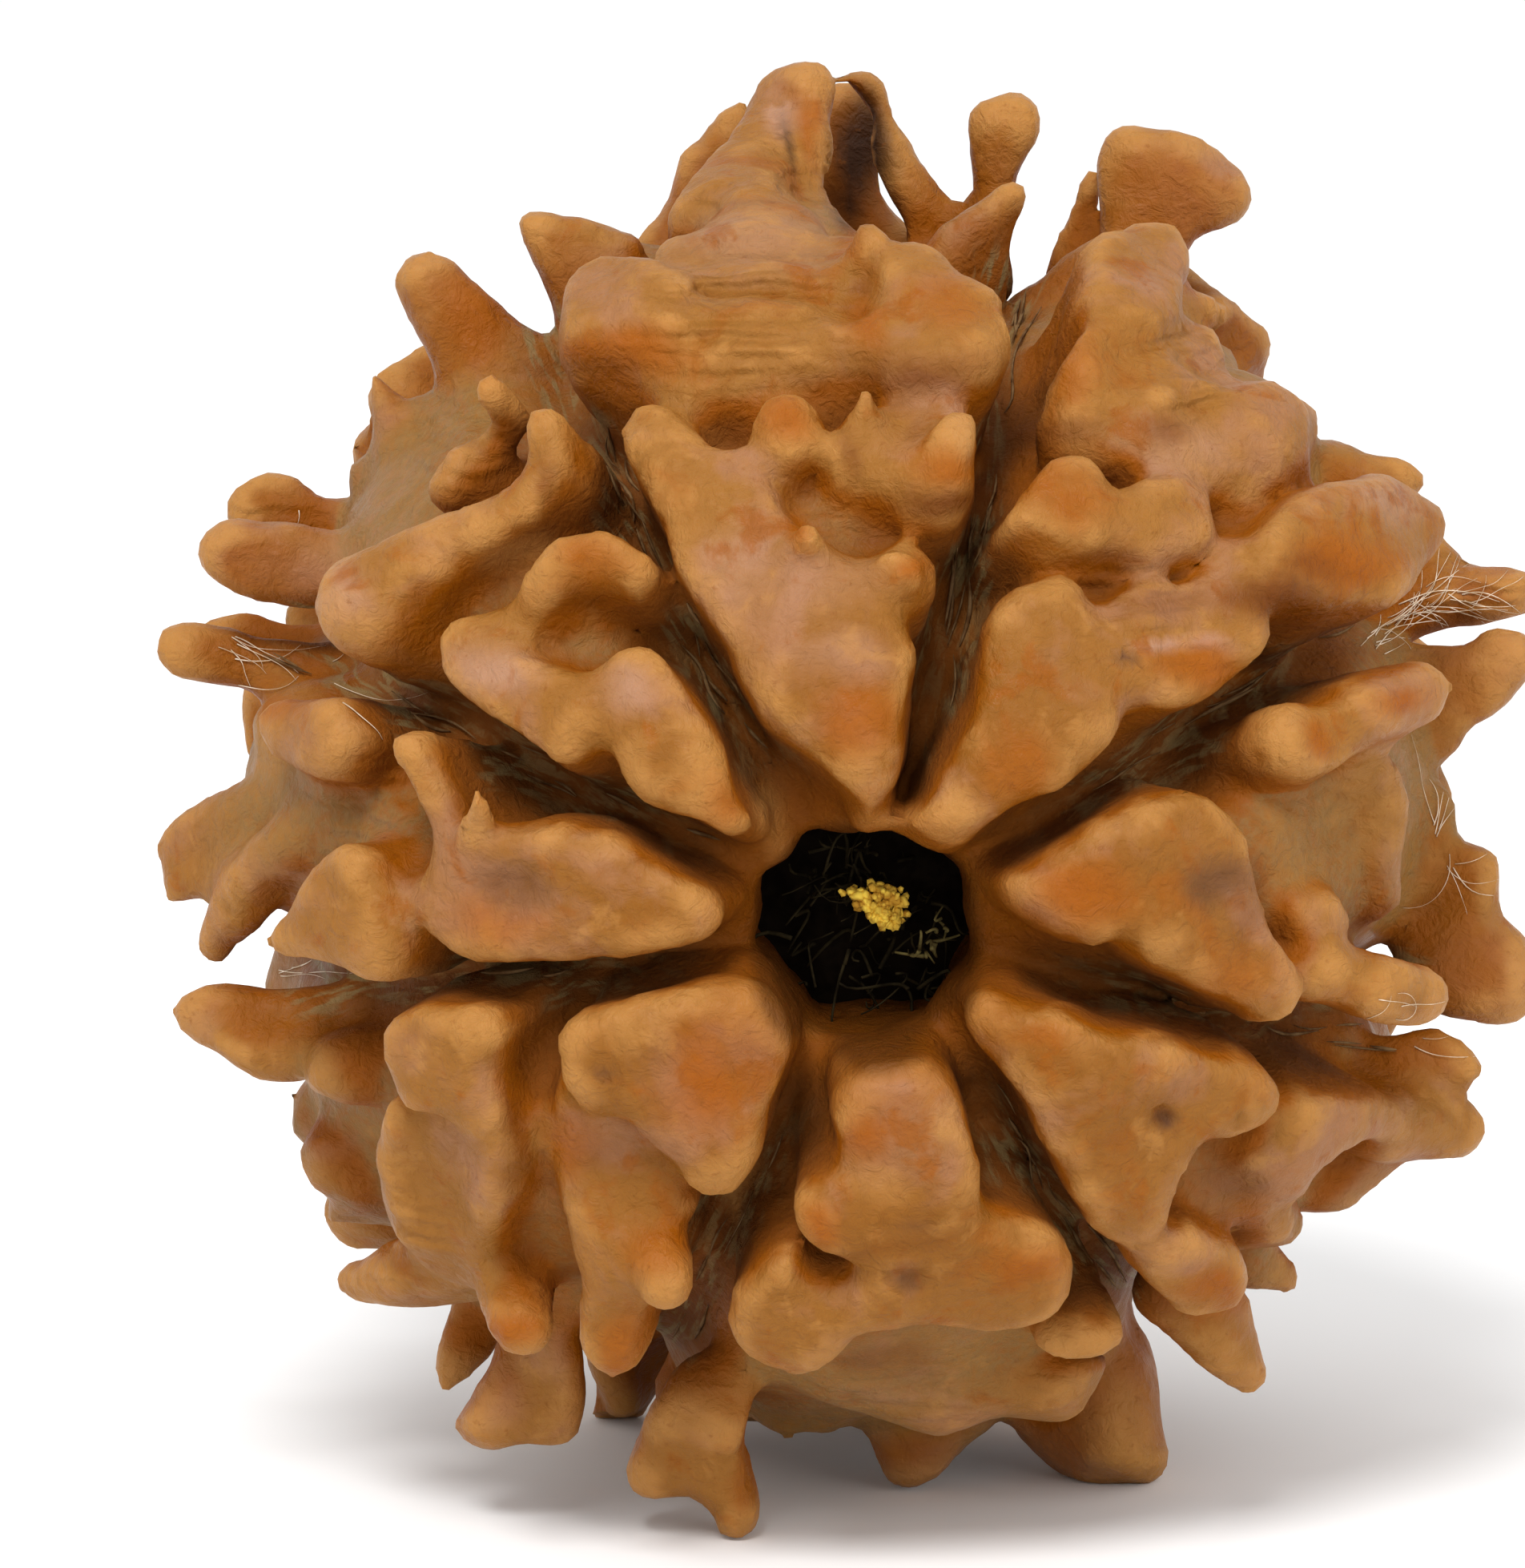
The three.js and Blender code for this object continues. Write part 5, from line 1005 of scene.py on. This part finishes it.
# Woody grain: uneven speckle and short scratches, for the stone and for its fibres
def makeGrain():
    tree, given, out = newGroup(
        "woodyGrain",
        [("Place", "NodeSocketVector", None), ("Size", "NodeSocketFloat", 1.0)],
        [("Patches", "NodeSocketFloat"), ("Speckle", "NodeSocketFloat"), ("Height", "NodeSocketFloat")],
    )
    scale = tree.nodes.new("ShaderNodeVectorMath")
    scale.operation = "DIVIDE"
    tree.links.new(given.outputs["Place"], scale.inputs[0])
    tree.links.new(given.outputs["Size"], scale.inputs[1])
    place = scale.outputs[0]
    patches = noiseNode(tree, place, 0.9, 4, 0.6, 0.4)
    speckle = noiseNode(tree, place, 5.5, 3, 0.65)
    wrinkle = noiseNode(tree, place, 3.2, 5, 0.6, 1.2)
    tree.links.new(patches, out.inputs["Patches"])
    tree.links.new(speckle, out.inputs["Speckle"])
    fold, grit = mathNode(tree, "MULTIPLY", wrinkle, 0.7), mathNode(tree, "MULTIPLY", speckle, 0.3)
    height = mathNode(tree, "ADD", fold, grit)
    tree.links.new(height, out.inputs["Height"])
    return tree


grain = makeGrain()


def addGroup(tree, group, **values):
    node = tree.nodes.new("ShaderNodeGroup")
    node.node_tree = group
    for label, value in values.items():
        if isinstance(value, bpy.types.NodeSocket):
            tree.links.new(value, node.inputs[label])
        else:
            node.inputs[label].default_value = value
    return node.outputs


# Tones of the stone. Brown, dark and black also paint shade in hollows, creases, cleft floors and the
# bore; amber also paints shade on flanks and in the funnel; pale also paints rim highlights; rose and
# blush paint sheen and highlights; umber and the near-black recess tone paint shade only
stoneFinish = {
    "tan": (0.256, 0.104, 0.018),
    "inner": (0.205, 0.073, 0.008),
    "roseSheen": (0.290, 0.130, 0.060),
    "highlightBlush": (0.370, 0.200, 0.125),
    "amber": (0.235, 0.062, 0.001),
    "warm": (0.262, 0.066, 0.001),
    "pale": (0.390, 0.180, 0.045),
    "brown": (0.175, 0.049, 0.004),
    "dark": (0.085, 0.026, 0.004),
    "umber": (0.112, 0.026, 0.001),
    "honey": (0.370, 0.165, 0.040),
    "plum": (0.105, 0.042, 0.016),
    "dust": (0.210, 0.115, 0.036),
    "olive": (0.180, 0.118, 0.045),
    "soot": (0.030, 0.011, 0.004),
    "black": (0.004, 0.002, 0.001),
    "roughness": 0.42,
    "shine": 0.10,
    "glow": 0.10,
    "glowDepth": 0.6,  # mm
    "grainHeight": 0.15,  # mm
    # Where each tone sets in and where it is full, in mm or in shares of open sky
    "tanPast": (3.5, 8.5),  # from the bore, as are the mouth's
    "flankSky": (0.90, 0.62),
    "flankSlope": (0.65, 0.15),
    "valleyRise": (1.5, 0.7),  # above the body, as are the other rises
    "valleySlope": (0.55, 0.9),
    "showingHalf": (10.5, 7.5),
    "pastMouth": (2.6, 5.0),
    "wallAway": (1.35, 0.6),  # from the middle of a cleft, as are the other two
    "wallRise": (1.75, 0.9),
    "hollowSky": (0.62, 0.30),
    "hollowDepth": (0.12, 0.50),
    "floorAway": (0.9, 0.35),
    "floorRise": (0.9, 0.1),
    "floorSky": (0.36, 0.12),
    "streakAway": (0.8, 0.3),
    "streakRise": (0.9, 0.2),
    "creaseDepth": (0.03, 0.13),
    "rimHeight": (-0.03, -0.12),
    "rimRise": (0.8, 1.6),
    "mouthAmber": (3.1, 2.3),
    "mouthDark": (2.15, 1.8),
    "mouthBlack": (1.75, 1.45),
}


def stoneMaterial():
    material = bpy.data.materials.new("waxyStone")
    material.use_nodes = True
    tree = material.node_tree
    shader = tree.nodes["Principled BSDF"]
    place = placeInMm(tree)
    coarse = addGroup(tree, grain, Place=place, Size=1.0)
    broad = addGroup(tree, grain, Place=place, Size=2.4)
    rise, away = attribute(tree, "rise"), attribute(tree, "away")
    fine, wide = attribute(tree, "fineHollow"), attribute(tree, "wideHollow")
    outward, fromBore = attribute(tree, "outward"), attribute(tree, "fromBore")
    uneven = mathNode(tree, "MULTIPLY", mathNode(tree, "SUBTRACT", coarse["Patches"], 0.5), 0.35)
    light = mathNode(tree, "ADD", attribute(tree, "openness"), uneven)
    look = stoneFinish

    def coated(share, tone):
        return mixColour(tree, share, colour, (*look[tone], 1))

    def both(a, b):
        return mathNode(tree, "MULTIPLY", a, b)

    def either(a, b):
        return mathNode(tree, "MAXIMUM", a, b)

    # Tan tops with rose patches of painted sheen and pinkish painted highlights, and amber as painted
    # shade where walls or a slope shade them, over amber patches of the stone's own tone
    past = ramp(tree, fromBore, *look["tanPast"])
    colour = mixColour(tree, past, (*look["inner"], 1), (*look["tan"], 1))
    # Rose patches and pinkish marks: painted sheen and highlights
    colour = coated(ramp(tree, broad["Patches"], 0.48, 0.66, 0.0, 0.8), "roseSheen")
    colour = coated(attribute(tree, "roseStain"), "highlightBlush")
    colour = coated(ramp(tree, coarse["Patches"], 0.57, 0.68, 0.0, 0.4), "pale")
    flankShade = either(ramp(tree, light, *look["flankSky"]),
                   ramp(tree, outward, *look["flankSlope"], 0.0, 0.75))
    patch = either(ramp(tree, broad["Patches"], 0.43, 0.32, 0.0, 0.6),
                   ramp(tree, coarse["Patches"], 0.45, 0.33, 0.0, 0.7))
    colour = coated(either(flankShade, patch), "amber")
    # Dust in the open valleys
    dusty = both(ramp(tree, rise, *look["valleyRise"]), ramp(tree, outward, *look["valleySlope"]))
    colour = coated(both(dusty, ramp(tree, coarse["Speckle"], 0.35, 0.65, 0.35, 0.85)), "dust")
    # Brown in the hollows and down the walls of the clefts, nearly black on their floors. In the hollows,
    # and on the floors where little sky is open, this is painted shade
    near = ramp(tree, fromBore, *look["showingHalf"], 0.35, 1.0)
    beyond = ramp(tree, fromBore, *look["pastMouth"])
    wall = both(both(ramp(tree, away, *look["wallAway"]), ramp(tree, rise, *look["wallRise"])), near)
    hollowShade = either(ramp(tree, light, *look["hollowSky"], 0.0, 0.95),
                    ramp(tree, wide, *look["hollowDepth"], 0.0, 0.8))
    colour = coated(either(hollowShade, wall), "brown")
    floor = both(ramp(tree, away, *look["floorAway"]), ramp(tree, rise, *look["floorRise"]))
    floor = either(both(both(floor, near), beyond), ramp(tree, light, *look["floorSky"]))
    colour = coated(both(floor, 0.72), "dark")
    # Dry olive streaks along the floors of the clefts
    streaks = tree.nodes.new("ShaderNodeCombineXYZ")
    tree.links.new(both(away, 7.0), streaks.inputs[0])
    tree.links.new(both(fromBore, 1.3), streaks.inputs[1])
    dry = ramp(tree, noiseNode(tree, streaks.outputs[0], 1.0, 3, 0.6, 0.3), 0.46, 0.62, 0.0, 0.9)
    dry = both(dry, both(beyond, ramp(tree, away, *look["streakAway"])))
    colour = coated(both(dry, ramp(tree, rise, *look["streakRise"])), "olive")
    # Lighter honey patches, partly painted bounce light on undersides
    colour = coated(attribute(tree, "honeyStain"), "honey")
    # Creases darkened to brown: painted shade
    colour = coated(both(ramp(tree, fine, *look["creaseDepth"]), 0.6), "brown")
    # Paler rims on the convex edges of the tops: a painted highlight
    rimHighlight = both(ramp(tree, fine, *look["rimHeight"]), ramp(tree, rise, *look["rimRise"]))
    colour = coated(both(rimHighlight, 0.8), "pale")
    # Marks and specks lie over all of that: plum stains, amber marks that are partly painted glow, umber
    # painted shade, and near-black painted shade in recesses
    for markKind, tone in (("amber", "warm"), ("umber", "umber"), ("plum", "plum"), ("soot", "soot")):
        colour = coated(attribute(tree, markKind + "Stain"), tone)
    colour = coated(ramp(tree, coarse["Speckle"], 0.60, 0.74, 0.0, 0.4), "brown")
    # The mouth's funnel is amber, then dark, and black inside: painted shade down into the bore
    colour = coated(ramp(tree, fromBore, *look["mouthAmber"], 0.0, 0.4), "amber")
    colour = coated(ramp(tree, fromBore, *look["mouthDark"], 0.0, 0.8), "dark")
    colour = coated(ramp(tree, fromBore, *look["mouthBlack"]), "black")
    tree.links.new(colour, shader.inputs["Base Color"])

    # The hollows are dull, and the tops have a patchy wax shine
    shine = ramp(tree, coarse["Patches"], 0.3, 0.75, look["roughness"] - 0.10, look["roughness"] + 0.14)
    dull = ramp(tree, light, 0.75, 0.35, 0.0, 0.35)
    tree.links.new(mathNode(tree, "ADD", shine, dull), shader.inputs["Roughness"])
    bump = tree.nodes.new("ShaderNodeBump")
    bump.inputs["Distance"].default_value = look["grainHeight"] * mm
    bump.inputs["Strength"].default_value = 0.8
    folds = tree.nodes.new("ShaderNodeTexWave")
    folds.bands_direction = "Z"
    for label, value in (("Scale", 1.0), ("Distortion", 5.0), ("Detail", 2.0), ("Detail Scale", 0.7)):
        folds.inputs[label].default_value = value
    tree.links.new(place, folds.inputs["Vector"])
    fold = mathNode(tree, "MULTIPLY", folds.outputs["Fac"], attribute(tree, "wrinkled"))
    height = mathNode(tree, "ADD", coarse["Height"], mathNode(tree, "MULTIPLY", fold, 0.8))
    tree.links.new(height, bump.inputs["Height"])
    tree.links.new(bump.outputs["Normal"], shader.inputs["Normal"])
    shader.inputs["Subsurface Weight"].default_value = look["glow"]
    shader.inputs["Subsurface Scale"].default_value = look["glowDepth"] * mm
    shader.inputs["Subsurface Radius"].default_value = (1.0, 0.4, 0.12)
    shader.inputs["Specular IOR Level"].default_value = look["shine"]
    return material


bead.data.materials.append(stoneMaterial())
print("stone finished")


# Fibres: what is left of the fruit's flesh in the grooves, on the rim and in the mouth

surface = BVHTree.FromPolygons(
    [v.co for v in bead.data.vertices], [p.vertices for p in bead.data.polygons]
)
eyePlace = (Vector(eye) + bodyCentre) * mm


def seenAt(x, y):
    place = surface.ray_cast(eyePlace, Vector(viewRay(x, y)).normalized())[0]
    return np.array(place) / mm if place else None


def strandPiece(name, strands, material, sides=5):
    points, faces = [], []
    for path, radii in strands:
        path = np.array(path)
        along = np.gradient(path, axis=0)
        along /= np.linalg.norm(along, axis=1)[:, None] + 1e-9
        side = np.cross(along, [0.31, 0.52, 0.79])
        side /= np.linalg.norm(side, axis=1)[:, None] + 1e-9
        other = np.cross(along, side)
        first = len(points)
        for n, centre in enumerate(path):
            for k in range(sides):
                turn = 2 * math.pi * k / sides
                points.append(centre + radii[n] * (math.cos(turn) * side[n] + math.sin(turn) * other[n]))
        for n in range(len(path) - 1):
            for k in range(sides):
                a, b = first + n * sides + k, first + n * sides + (k + 1) % sides
                faces.append((a, b, b + sides, a + sides))
        faces.append(tuple(range(first + sides - 1, first - 1, -1)))
        faces.append(tuple(range(len(points) - sides, len(points))))
    mesh = bpy.data.meshes.new(name)
    mesh.from_pydata(np.array(points) * mm, [], faces)
    mesh.polygons.foreach_set("use_smooth", [True] * len(mesh.polygons))
    mesh.materials.append(material)
    piece = bpy.data.objects.new(name, mesh)
    bpy.context.scene.collection.objects.link(piece)
    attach(piece, "root")
    print(name, len(faces), "faces")
    return piece


def fibreMaterial(name, light, dark, roughness):
    material = bpy.data.materials.new(name)
    material.use_nodes = True
    tree = material.node_tree
    shader = tree.nodes["Principled BSDF"]
    fine = addGroup(tree, grain, Place=placeInMm(tree), Size=0.35)
    tree.links.new(mixColour(tree, ramp(tree, fine["Patches"], 0.35, 0.65), (*dark, 1), (*light, 1)),
                   shader.inputs["Base Color"])
    shader.inputs["Roughness"].default_value = roughness
    shader.inputs["Specular IOR Level"].default_value = 0.06
    return material


grooveFibres = {
    "counts": (20, 22, 8, 9, 15, 6, 5, 12),  # strands in each groove
    "sway": 17,  # how far they wander to each side of its middle, in face-view units
    "radius": (0.018, 0.045),
    "length": (4, 11),  # in samples
    "highest": 0.75,  # none lies higher on the relief than this, mm
    "light": (0.175, 0.100, 0.042),
    "dark": (0.080, 0.034, 0.010),
}
# The middle line of each groove in the face view, from the mouth out
grooves = [
    [(1000, 1000), (930, 900), (870, 800), (810, 680), (760, 560), (720, 460), (690, 425)],
    [(1180, 960), (1190, 800), (1215, 650), (1240, 500), (1290, 350)],
    [(1300, 1010), (1400, 950), (1490, 900), (1690, 790), (1850, 740)],
    [(1330, 1200), (1450, 1245), (1600, 1290), (1750, 1300), (1880, 1290)],
    [(1200, 1290), (1280, 1420), (1360, 1560), (1430, 1650)],
    [(1010, 1300), (950, 1440), (880, 1600), (830, 1700), (790, 1760)],
    [(930, 1200), (750, 1220), (560, 1220), (430, 1210), (280, 1230)],
    [(950, 1070), (830, 1030), (700, 970), (560, 910), (430, 850), (330, 800)],
]


def evenly(path, step):
    path = np.array(path, float)
    reach = np.concatenate([[0], np.cumsum(np.linalg.norm(np.diff(path, axis=0), axis=1))])
    marks = np.arange(0, reach[-1], step)
    return np.stack([np.interp(marks, reach, path[:, k]) for k in (0, 1)], axis=1)


def laidOver(line, lift):
    # The part of a line in the face view that lies low on the stone without a jump
    path = []
    for x, y in line:
        place = seenAt(x, y)
        if place is None:
            break
        fromCentre = place - np.array(bodyCentre)
        low = heightOver(fromCentre[None])[0] < grooveFibres["highest"]
        if not low or (path and np.linalg.norm(place - path[-1]) > 0.9):
            if len(path) > 3:
                break
            path = []
            continue
        path.append(place + towardsEye * lift)
    return path


def makeGrooveFibres():
    draw = np.random.default_rng(5)
    strands = []
    for groove, count in zip(grooves, grooveFibres["counts"]):
        middle = evenly(groove, 11)
        across = np.gradient(middle, axis=0)[:, ::-1] * (1, -1)
        across /= np.linalg.norm(across, axis=1)[:, None]
        for _ in range(count):
            start = draw.integers(5, len(middle) - 4)
            end = start + draw.integers(*grooveFibres["length"])
            part = middle[start:end]
            offset, swing = draw.uniform(-1, 1), draw.uniform(-0.6, 0.6)
            sway = offset + swing * np.sin(np.arange(len(part)) * draw.uniform(0.2, 0.9))
            line = part + across[start:end] * (sway * grooveFibres["sway"])[:, None]
            path = laidOver(line, draw.uniform(0.02, 0.2))
            if len(path) > 3:
                path = np.array(path)
                path[1:-1] = (path[:-2] + path[1:-1] + path[2:]) / 3
                radius = draw.uniform(*grooveFibres["radius"])
                strands.append((path, radius * np.sin(np.linspace(0.25, math.pi - 0.25, len(path)))))
    look = fibreMaterial("grooveFibre", grooveFibres["light"], grooveFibres["dark"], 0.75)
    return strandPiece("beadGrooveFibres", strands, look)


mouthFill = {
    "depth": 2.6,  # from the mouth's rim to the fibre that closes it, mm
    "plug": 2.0,  # its radius
    "colour": (0.010, 0.006, 0.003),
    "shade": (0.004, 0.002, 0.001),
    "strands": 60,
    "strandRadius": (0.02, 0.045),
    "strandLight": (0.034, 0.025, 0.010),
    "strandDark": (0.010, 0.007, 0.003),
    # Tufts of yellow fibre: x, y in the face view, count, half width and height there, and length in mm
    "tufts": [(1098, 1128, 90, 13, 10, 0.05), (1108, 1148, 30, 9, 6, 0.05), (1066, 1116, 14, 9, 3, 0.05)],
    "wisps": [(1150, 1188, 7, 12, 7, 0.18), (1176, 1150, 5, 5, 8, 0.12)],
    "tuftLift": (1.1, 1.4),  # how far their feet stand before the plug
    "tuftRadius": (0.06, 0.11),
    "wispLift": (1.2, 1.8),
    "wispRadius": (0.03, 0.055),
    "gold": (1.0, 0.70, 0.09),
    "goldShade": (0.55, 0.28, 0.03),
    "olive": (0.17, 0.135, 0.045),
    "oliveShade": (0.06, 0.045, 0.015),
}


def inMouth(x, y, depth):
    # The point seen at x, y that lies a given depth behind the mouth's rim
    ray = viewRay(x, y)
    plane = -(stone["half"] - stone["funnelDepth"]) + depth
    return eye + ray * ((plane - eye[1]) / ray[1]) + np.array(bodyCentre)


def makeMouthFill():
    draw = np.random.default_rng(11)
    centre = np.array([stone["boreAt"][0], -(stone["half"] - stone["funnelDepth"]) + mouthFill["depth"],
                       stone["boreAt"][1]]) + np.array(bodyCentre)
    rings, around = 7, 28
    points, faces = [centre + [0, -0.1, 0]], []
    for n in range(1, rings + 1):
        for k in range(around):
            turn = 2 * math.pi * k / around
            reach = mouthFill["plug"] * n / rings
            spot = centre + [reach * math.cos(turn), 0.12 * reach ** 2, reach * math.sin(turn)]
            points.append(spot + [0, 0.5 * mathutils.noise.noise(Vector(spot) * 1.3), 0])
    for k in range(around):
        faces.append((0, 1 + (k + 1) % around, 1 + k))
        for n in range(rings - 1):
            a, b = 1 + n * around + k, 1 + n * around + (k + 1) % around
            faces.append((a, b, b + around, a + around))
    mesh = bpy.data.meshes.new("beadMouthFill")
    mesh.from_pydata(np.array(points) * mm, [], faces)
    mesh.polygons.foreach_set("use_smooth", [True] * len(mesh.polygons))
    mesh.materials.append(fibreMaterial("mouthFill", mouthFill["colour"], mouthFill["shade"], 0.8))
    piece = bpy.data.objects.new("beadMouthFill", mesh)
    bpy.context.scene.collection.objects.link(piece)
    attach(piece, "root")

    dark, gold = [], []
    for _ in range(mouthFill["strands"]):
        foot = centre + [draw.uniform(-1.3, 1.3), draw.uniform(-0.9, -0.2), draw.uniform(-1.3, 1.3)]
        lean = draw.normal(0, 0.6, 3) * (1, 0.4, 1)
        curl = draw.normal(0, 0.3, 3) * (1, 0.4, 1)
        t = np.linspace(0, 1, 9)[:, None]
        path = foot + lean * t + curl * np.sin(math.pi * t) + 0.12 * np.sin(5 * t + curl)
        dark.append((path, draw.uniform(*mouthFill["strandRadius"]) * np.linspace(1, 0.5, 9)))
    for x, y, many, wide, high, length in mouthFill["tufts"]:
        for _ in range(many):
            px, py = x + draw.normal(0, wide), y + draw.normal(0, high)
            foot = inMouth(px, py, mouthFill["depth"] - draw.uniform(*mouthFill["tuftLift"]))
            lean = draw.normal(0, length, 3) + (0, -0.1, 0.02)
            t = np.linspace(0, 1, 7)[:, None]
            path = foot + lean * t + draw.normal(0, length * 0.5, 3) * np.sin(math.pi * t)
            gold.append((path, draw.uniform(*mouthFill["tuftRadius"]) * np.linspace(1, 0.6, 7)))
    wisps = []
    for x, y, many, wide, high, length in mouthFill["wisps"]:
        for _ in range(many):
            px, py = x + draw.normal(0, wide), y + draw.normal(0, high)
            foot = inMouth(px, py, mouthFill["depth"] - draw.uniform(*mouthFill["wispLift"]))
            lean, curl = draw.normal(0, length, 3), draw.normal(0, length * 0.4, 3)
            t = np.linspace(0, 1, 7)[:, None]
            path = foot + lean * t + curl * np.sin(math.pi * t)
            wisps.append((path, draw.uniform(*mouthFill["wispRadius"]) * np.linspace(1, 0.5, 7)))
    darkFibre = fibreMaterial("darkFibre", mouthFill["strandLight"], mouthFill["strandDark"], 0.8)
    goldFibre = fibreMaterial("goldFibre", mouthFill["gold"], mouthFill["goldShade"], 0.6)
    oliveFibre = fibreMaterial("oliveFibre", mouthFill["olive"], mouthFill["oliveShade"], 0.8)
    strandPiece("beadMouthFibres", dark, darkFibre)
    strandPiece("beadMouthTuft", gold, goldFibre)
    strandPiece("beadMouthWisps", wisps, oliveFibre)


hairs = {
    "radius": (0.007, 0.015),
    "length": (0.7, 2.2),
    "light": (0.75, 0.62, 0.48),
    "dark": (0.45, 0.32, 0.20),
    # Where the fine pale hairs lie in the face view: x, y, how far they spread, how many, which way they
    # run in degrees, and how much they bend
    "places": [(1735, 778, 24, 12, -25, 0.06), (1775, 757, 22, 12, -14, 0.05),
               (1712, 800, 18, 9, -38, 0.07), (1825, 748, 20, 8, -6, 0.05),
               # The next two places stand for a thin fibre whose pale edge is partly a painted highlight
               (1795, 1035, 12, 5, -68, 0.10), (1812, 1078, 10, 5, 50, 0.10),
               (1745, 1290, 30, 8, 12, 0.10), (1830, 1345, 22, 6, 30, 0.12),
               (290, 800, 30, 9, 15, 0.10), (420, 850, 26, 6, 30, 0.08), (210, 640, 16, 4, 10, 0.10),
               (300, 1205, 36, 7, -5, 0.08), (360, 1215, 20, 5, 0, 0.08), (1650, 1460, 16, 3, 60, 0.10),
               (385, 640, 20, 4, 70, 0.10)],
}


def makeHairs():
    draw = np.random.default_rng(23)
    strands = []
    for x, y, spread, count, heading, bends in hairs["places"]:
        for _ in range(count):
            px, py = x + draw.normal(0, spread / 2), y + draw.normal(0, spread / 2)
            turn = math.radians(heading) + draw.normal(0, 0.35)
            bend, steps = draw.normal(0, bends), 16
            step = draw.uniform(*hairs["length"]) * faceView["unitsPerMm"] / steps
            path = []
            for n in range(steps):
                place = seenAt(px, py)
                if place is None or (path and np.linalg.norm(place - path[-1]) > 0.5):
                    break
                path.append(place + towardsEye * (0.02 + 0.05 * math.sin(math.pi * n / steps)))
                px, py = px + step * math.cos(turn), py + step * math.sin(turn)
                turn += bend + draw.normal(0, 0.12)
            if len(path) > 5:
                path = np.array(path)
                for _ in range(2):
                    path[1:-1] = (path[:-2] + path[1:-1] + path[2:]) / 3
                strands.append((path, draw.uniform(*hairs["radius"]) * np.linspace(1, 0.35, len(path))))
    look = fibreMaterial("paleHair", hairs["light"], hairs["dark"], 0.5)
    return strandPiece("beadHairs", strands, look, 4)


makeGrooveFibres()
makeMouthFill()
makeHairs()
print("fibres made")


# Floor, light and camera

studio = {
    "floorSize": 3.0,
    "floorColour": (0.90, 0.90, 0.90, 1),
    "worldStrength": 0.95,
}


def makeFloor():
    size = studio["floorSize"] / 2
    mesh = bpy.data.meshes.new("floor")
    corners = [(-size, -size, 0), (size, -size, 0), (size, size, 0), (-size, size, 0)]
    mesh.from_pydata(corners, [], [(0, 1, 2, 3)])
    floor = bpy.data.objects.new("floor", mesh)
    bpy.context.scene.collection.objects.link(floor)
    material = bpy.data.materials.new("paleFloor")
    material.use_nodes = True
    shader = material.node_tree.nodes["Principled BSDF"]
    shader.inputs["Base Color"].default_value = studio["floorColour"]
    shader.inputs["Roughness"].default_value = 0.9
    mesh.materials.append(material)


def makeWorld():
    world = bpy.data.worlds.new("paleRoom")
    bpy.context.scene.world = world
    world.use_nodes = True
    background = world.node_tree.nodes["Background"]
    background.inputs["Color"].default_value = (1, 1, 1, 1)
    background.inputs["Strength"].default_value = studio["worldStrength"]


def softLight(name, place, target, size, power):
    data = bpy.data.lights.new(name, "AREA")
    data.shape = "DISK"
    data.size = size
    data.energy = power
    light = bpy.data.objects.new(name, data)
    light.location = place
    light.rotation_euler = (Vector(target) - Vector(place)).to_track_quat("-Z", "Y").to_euler()
    bpy.context.scene.collection.objects.link(light)


def makeCamera():
    data = bpy.data.cameras.new("faceCamera")
    data.sensor_fit = "VERTICAL"
    data.sensor_height = 36
    longSide = faceView["longSide"] / faceView["unitsPerMm"]
    data.lens = data.sensor_height * faceView["distance"] / longSide
    data.clip_start = 0.01
    camera = bpy.data.objects.new("faceCamera", data)
    axes = Matrix((viewRight, viewUp, towardsEye)).transposed()
    camera.matrix_world = Matrix.Translation((Vector(eye) + bodyCentre) * mm) @ axes.to_4x4()
    bpy.context.scene.collection.objects.link(camera)
    bpy.context.scene.camera = camera


bpy.context.scene.view_settings.view_transform = "Standard"
makeFloor()
makeWorld()
softLight("key", (-0.06, -0.22, 0.30), (0, 0, 0.012), 0.14, 1.05)
softLight("fill", (0.22, -0.22, 0.12), (0, 0, 0.012), 0.20, 0.22)
makeCamera()
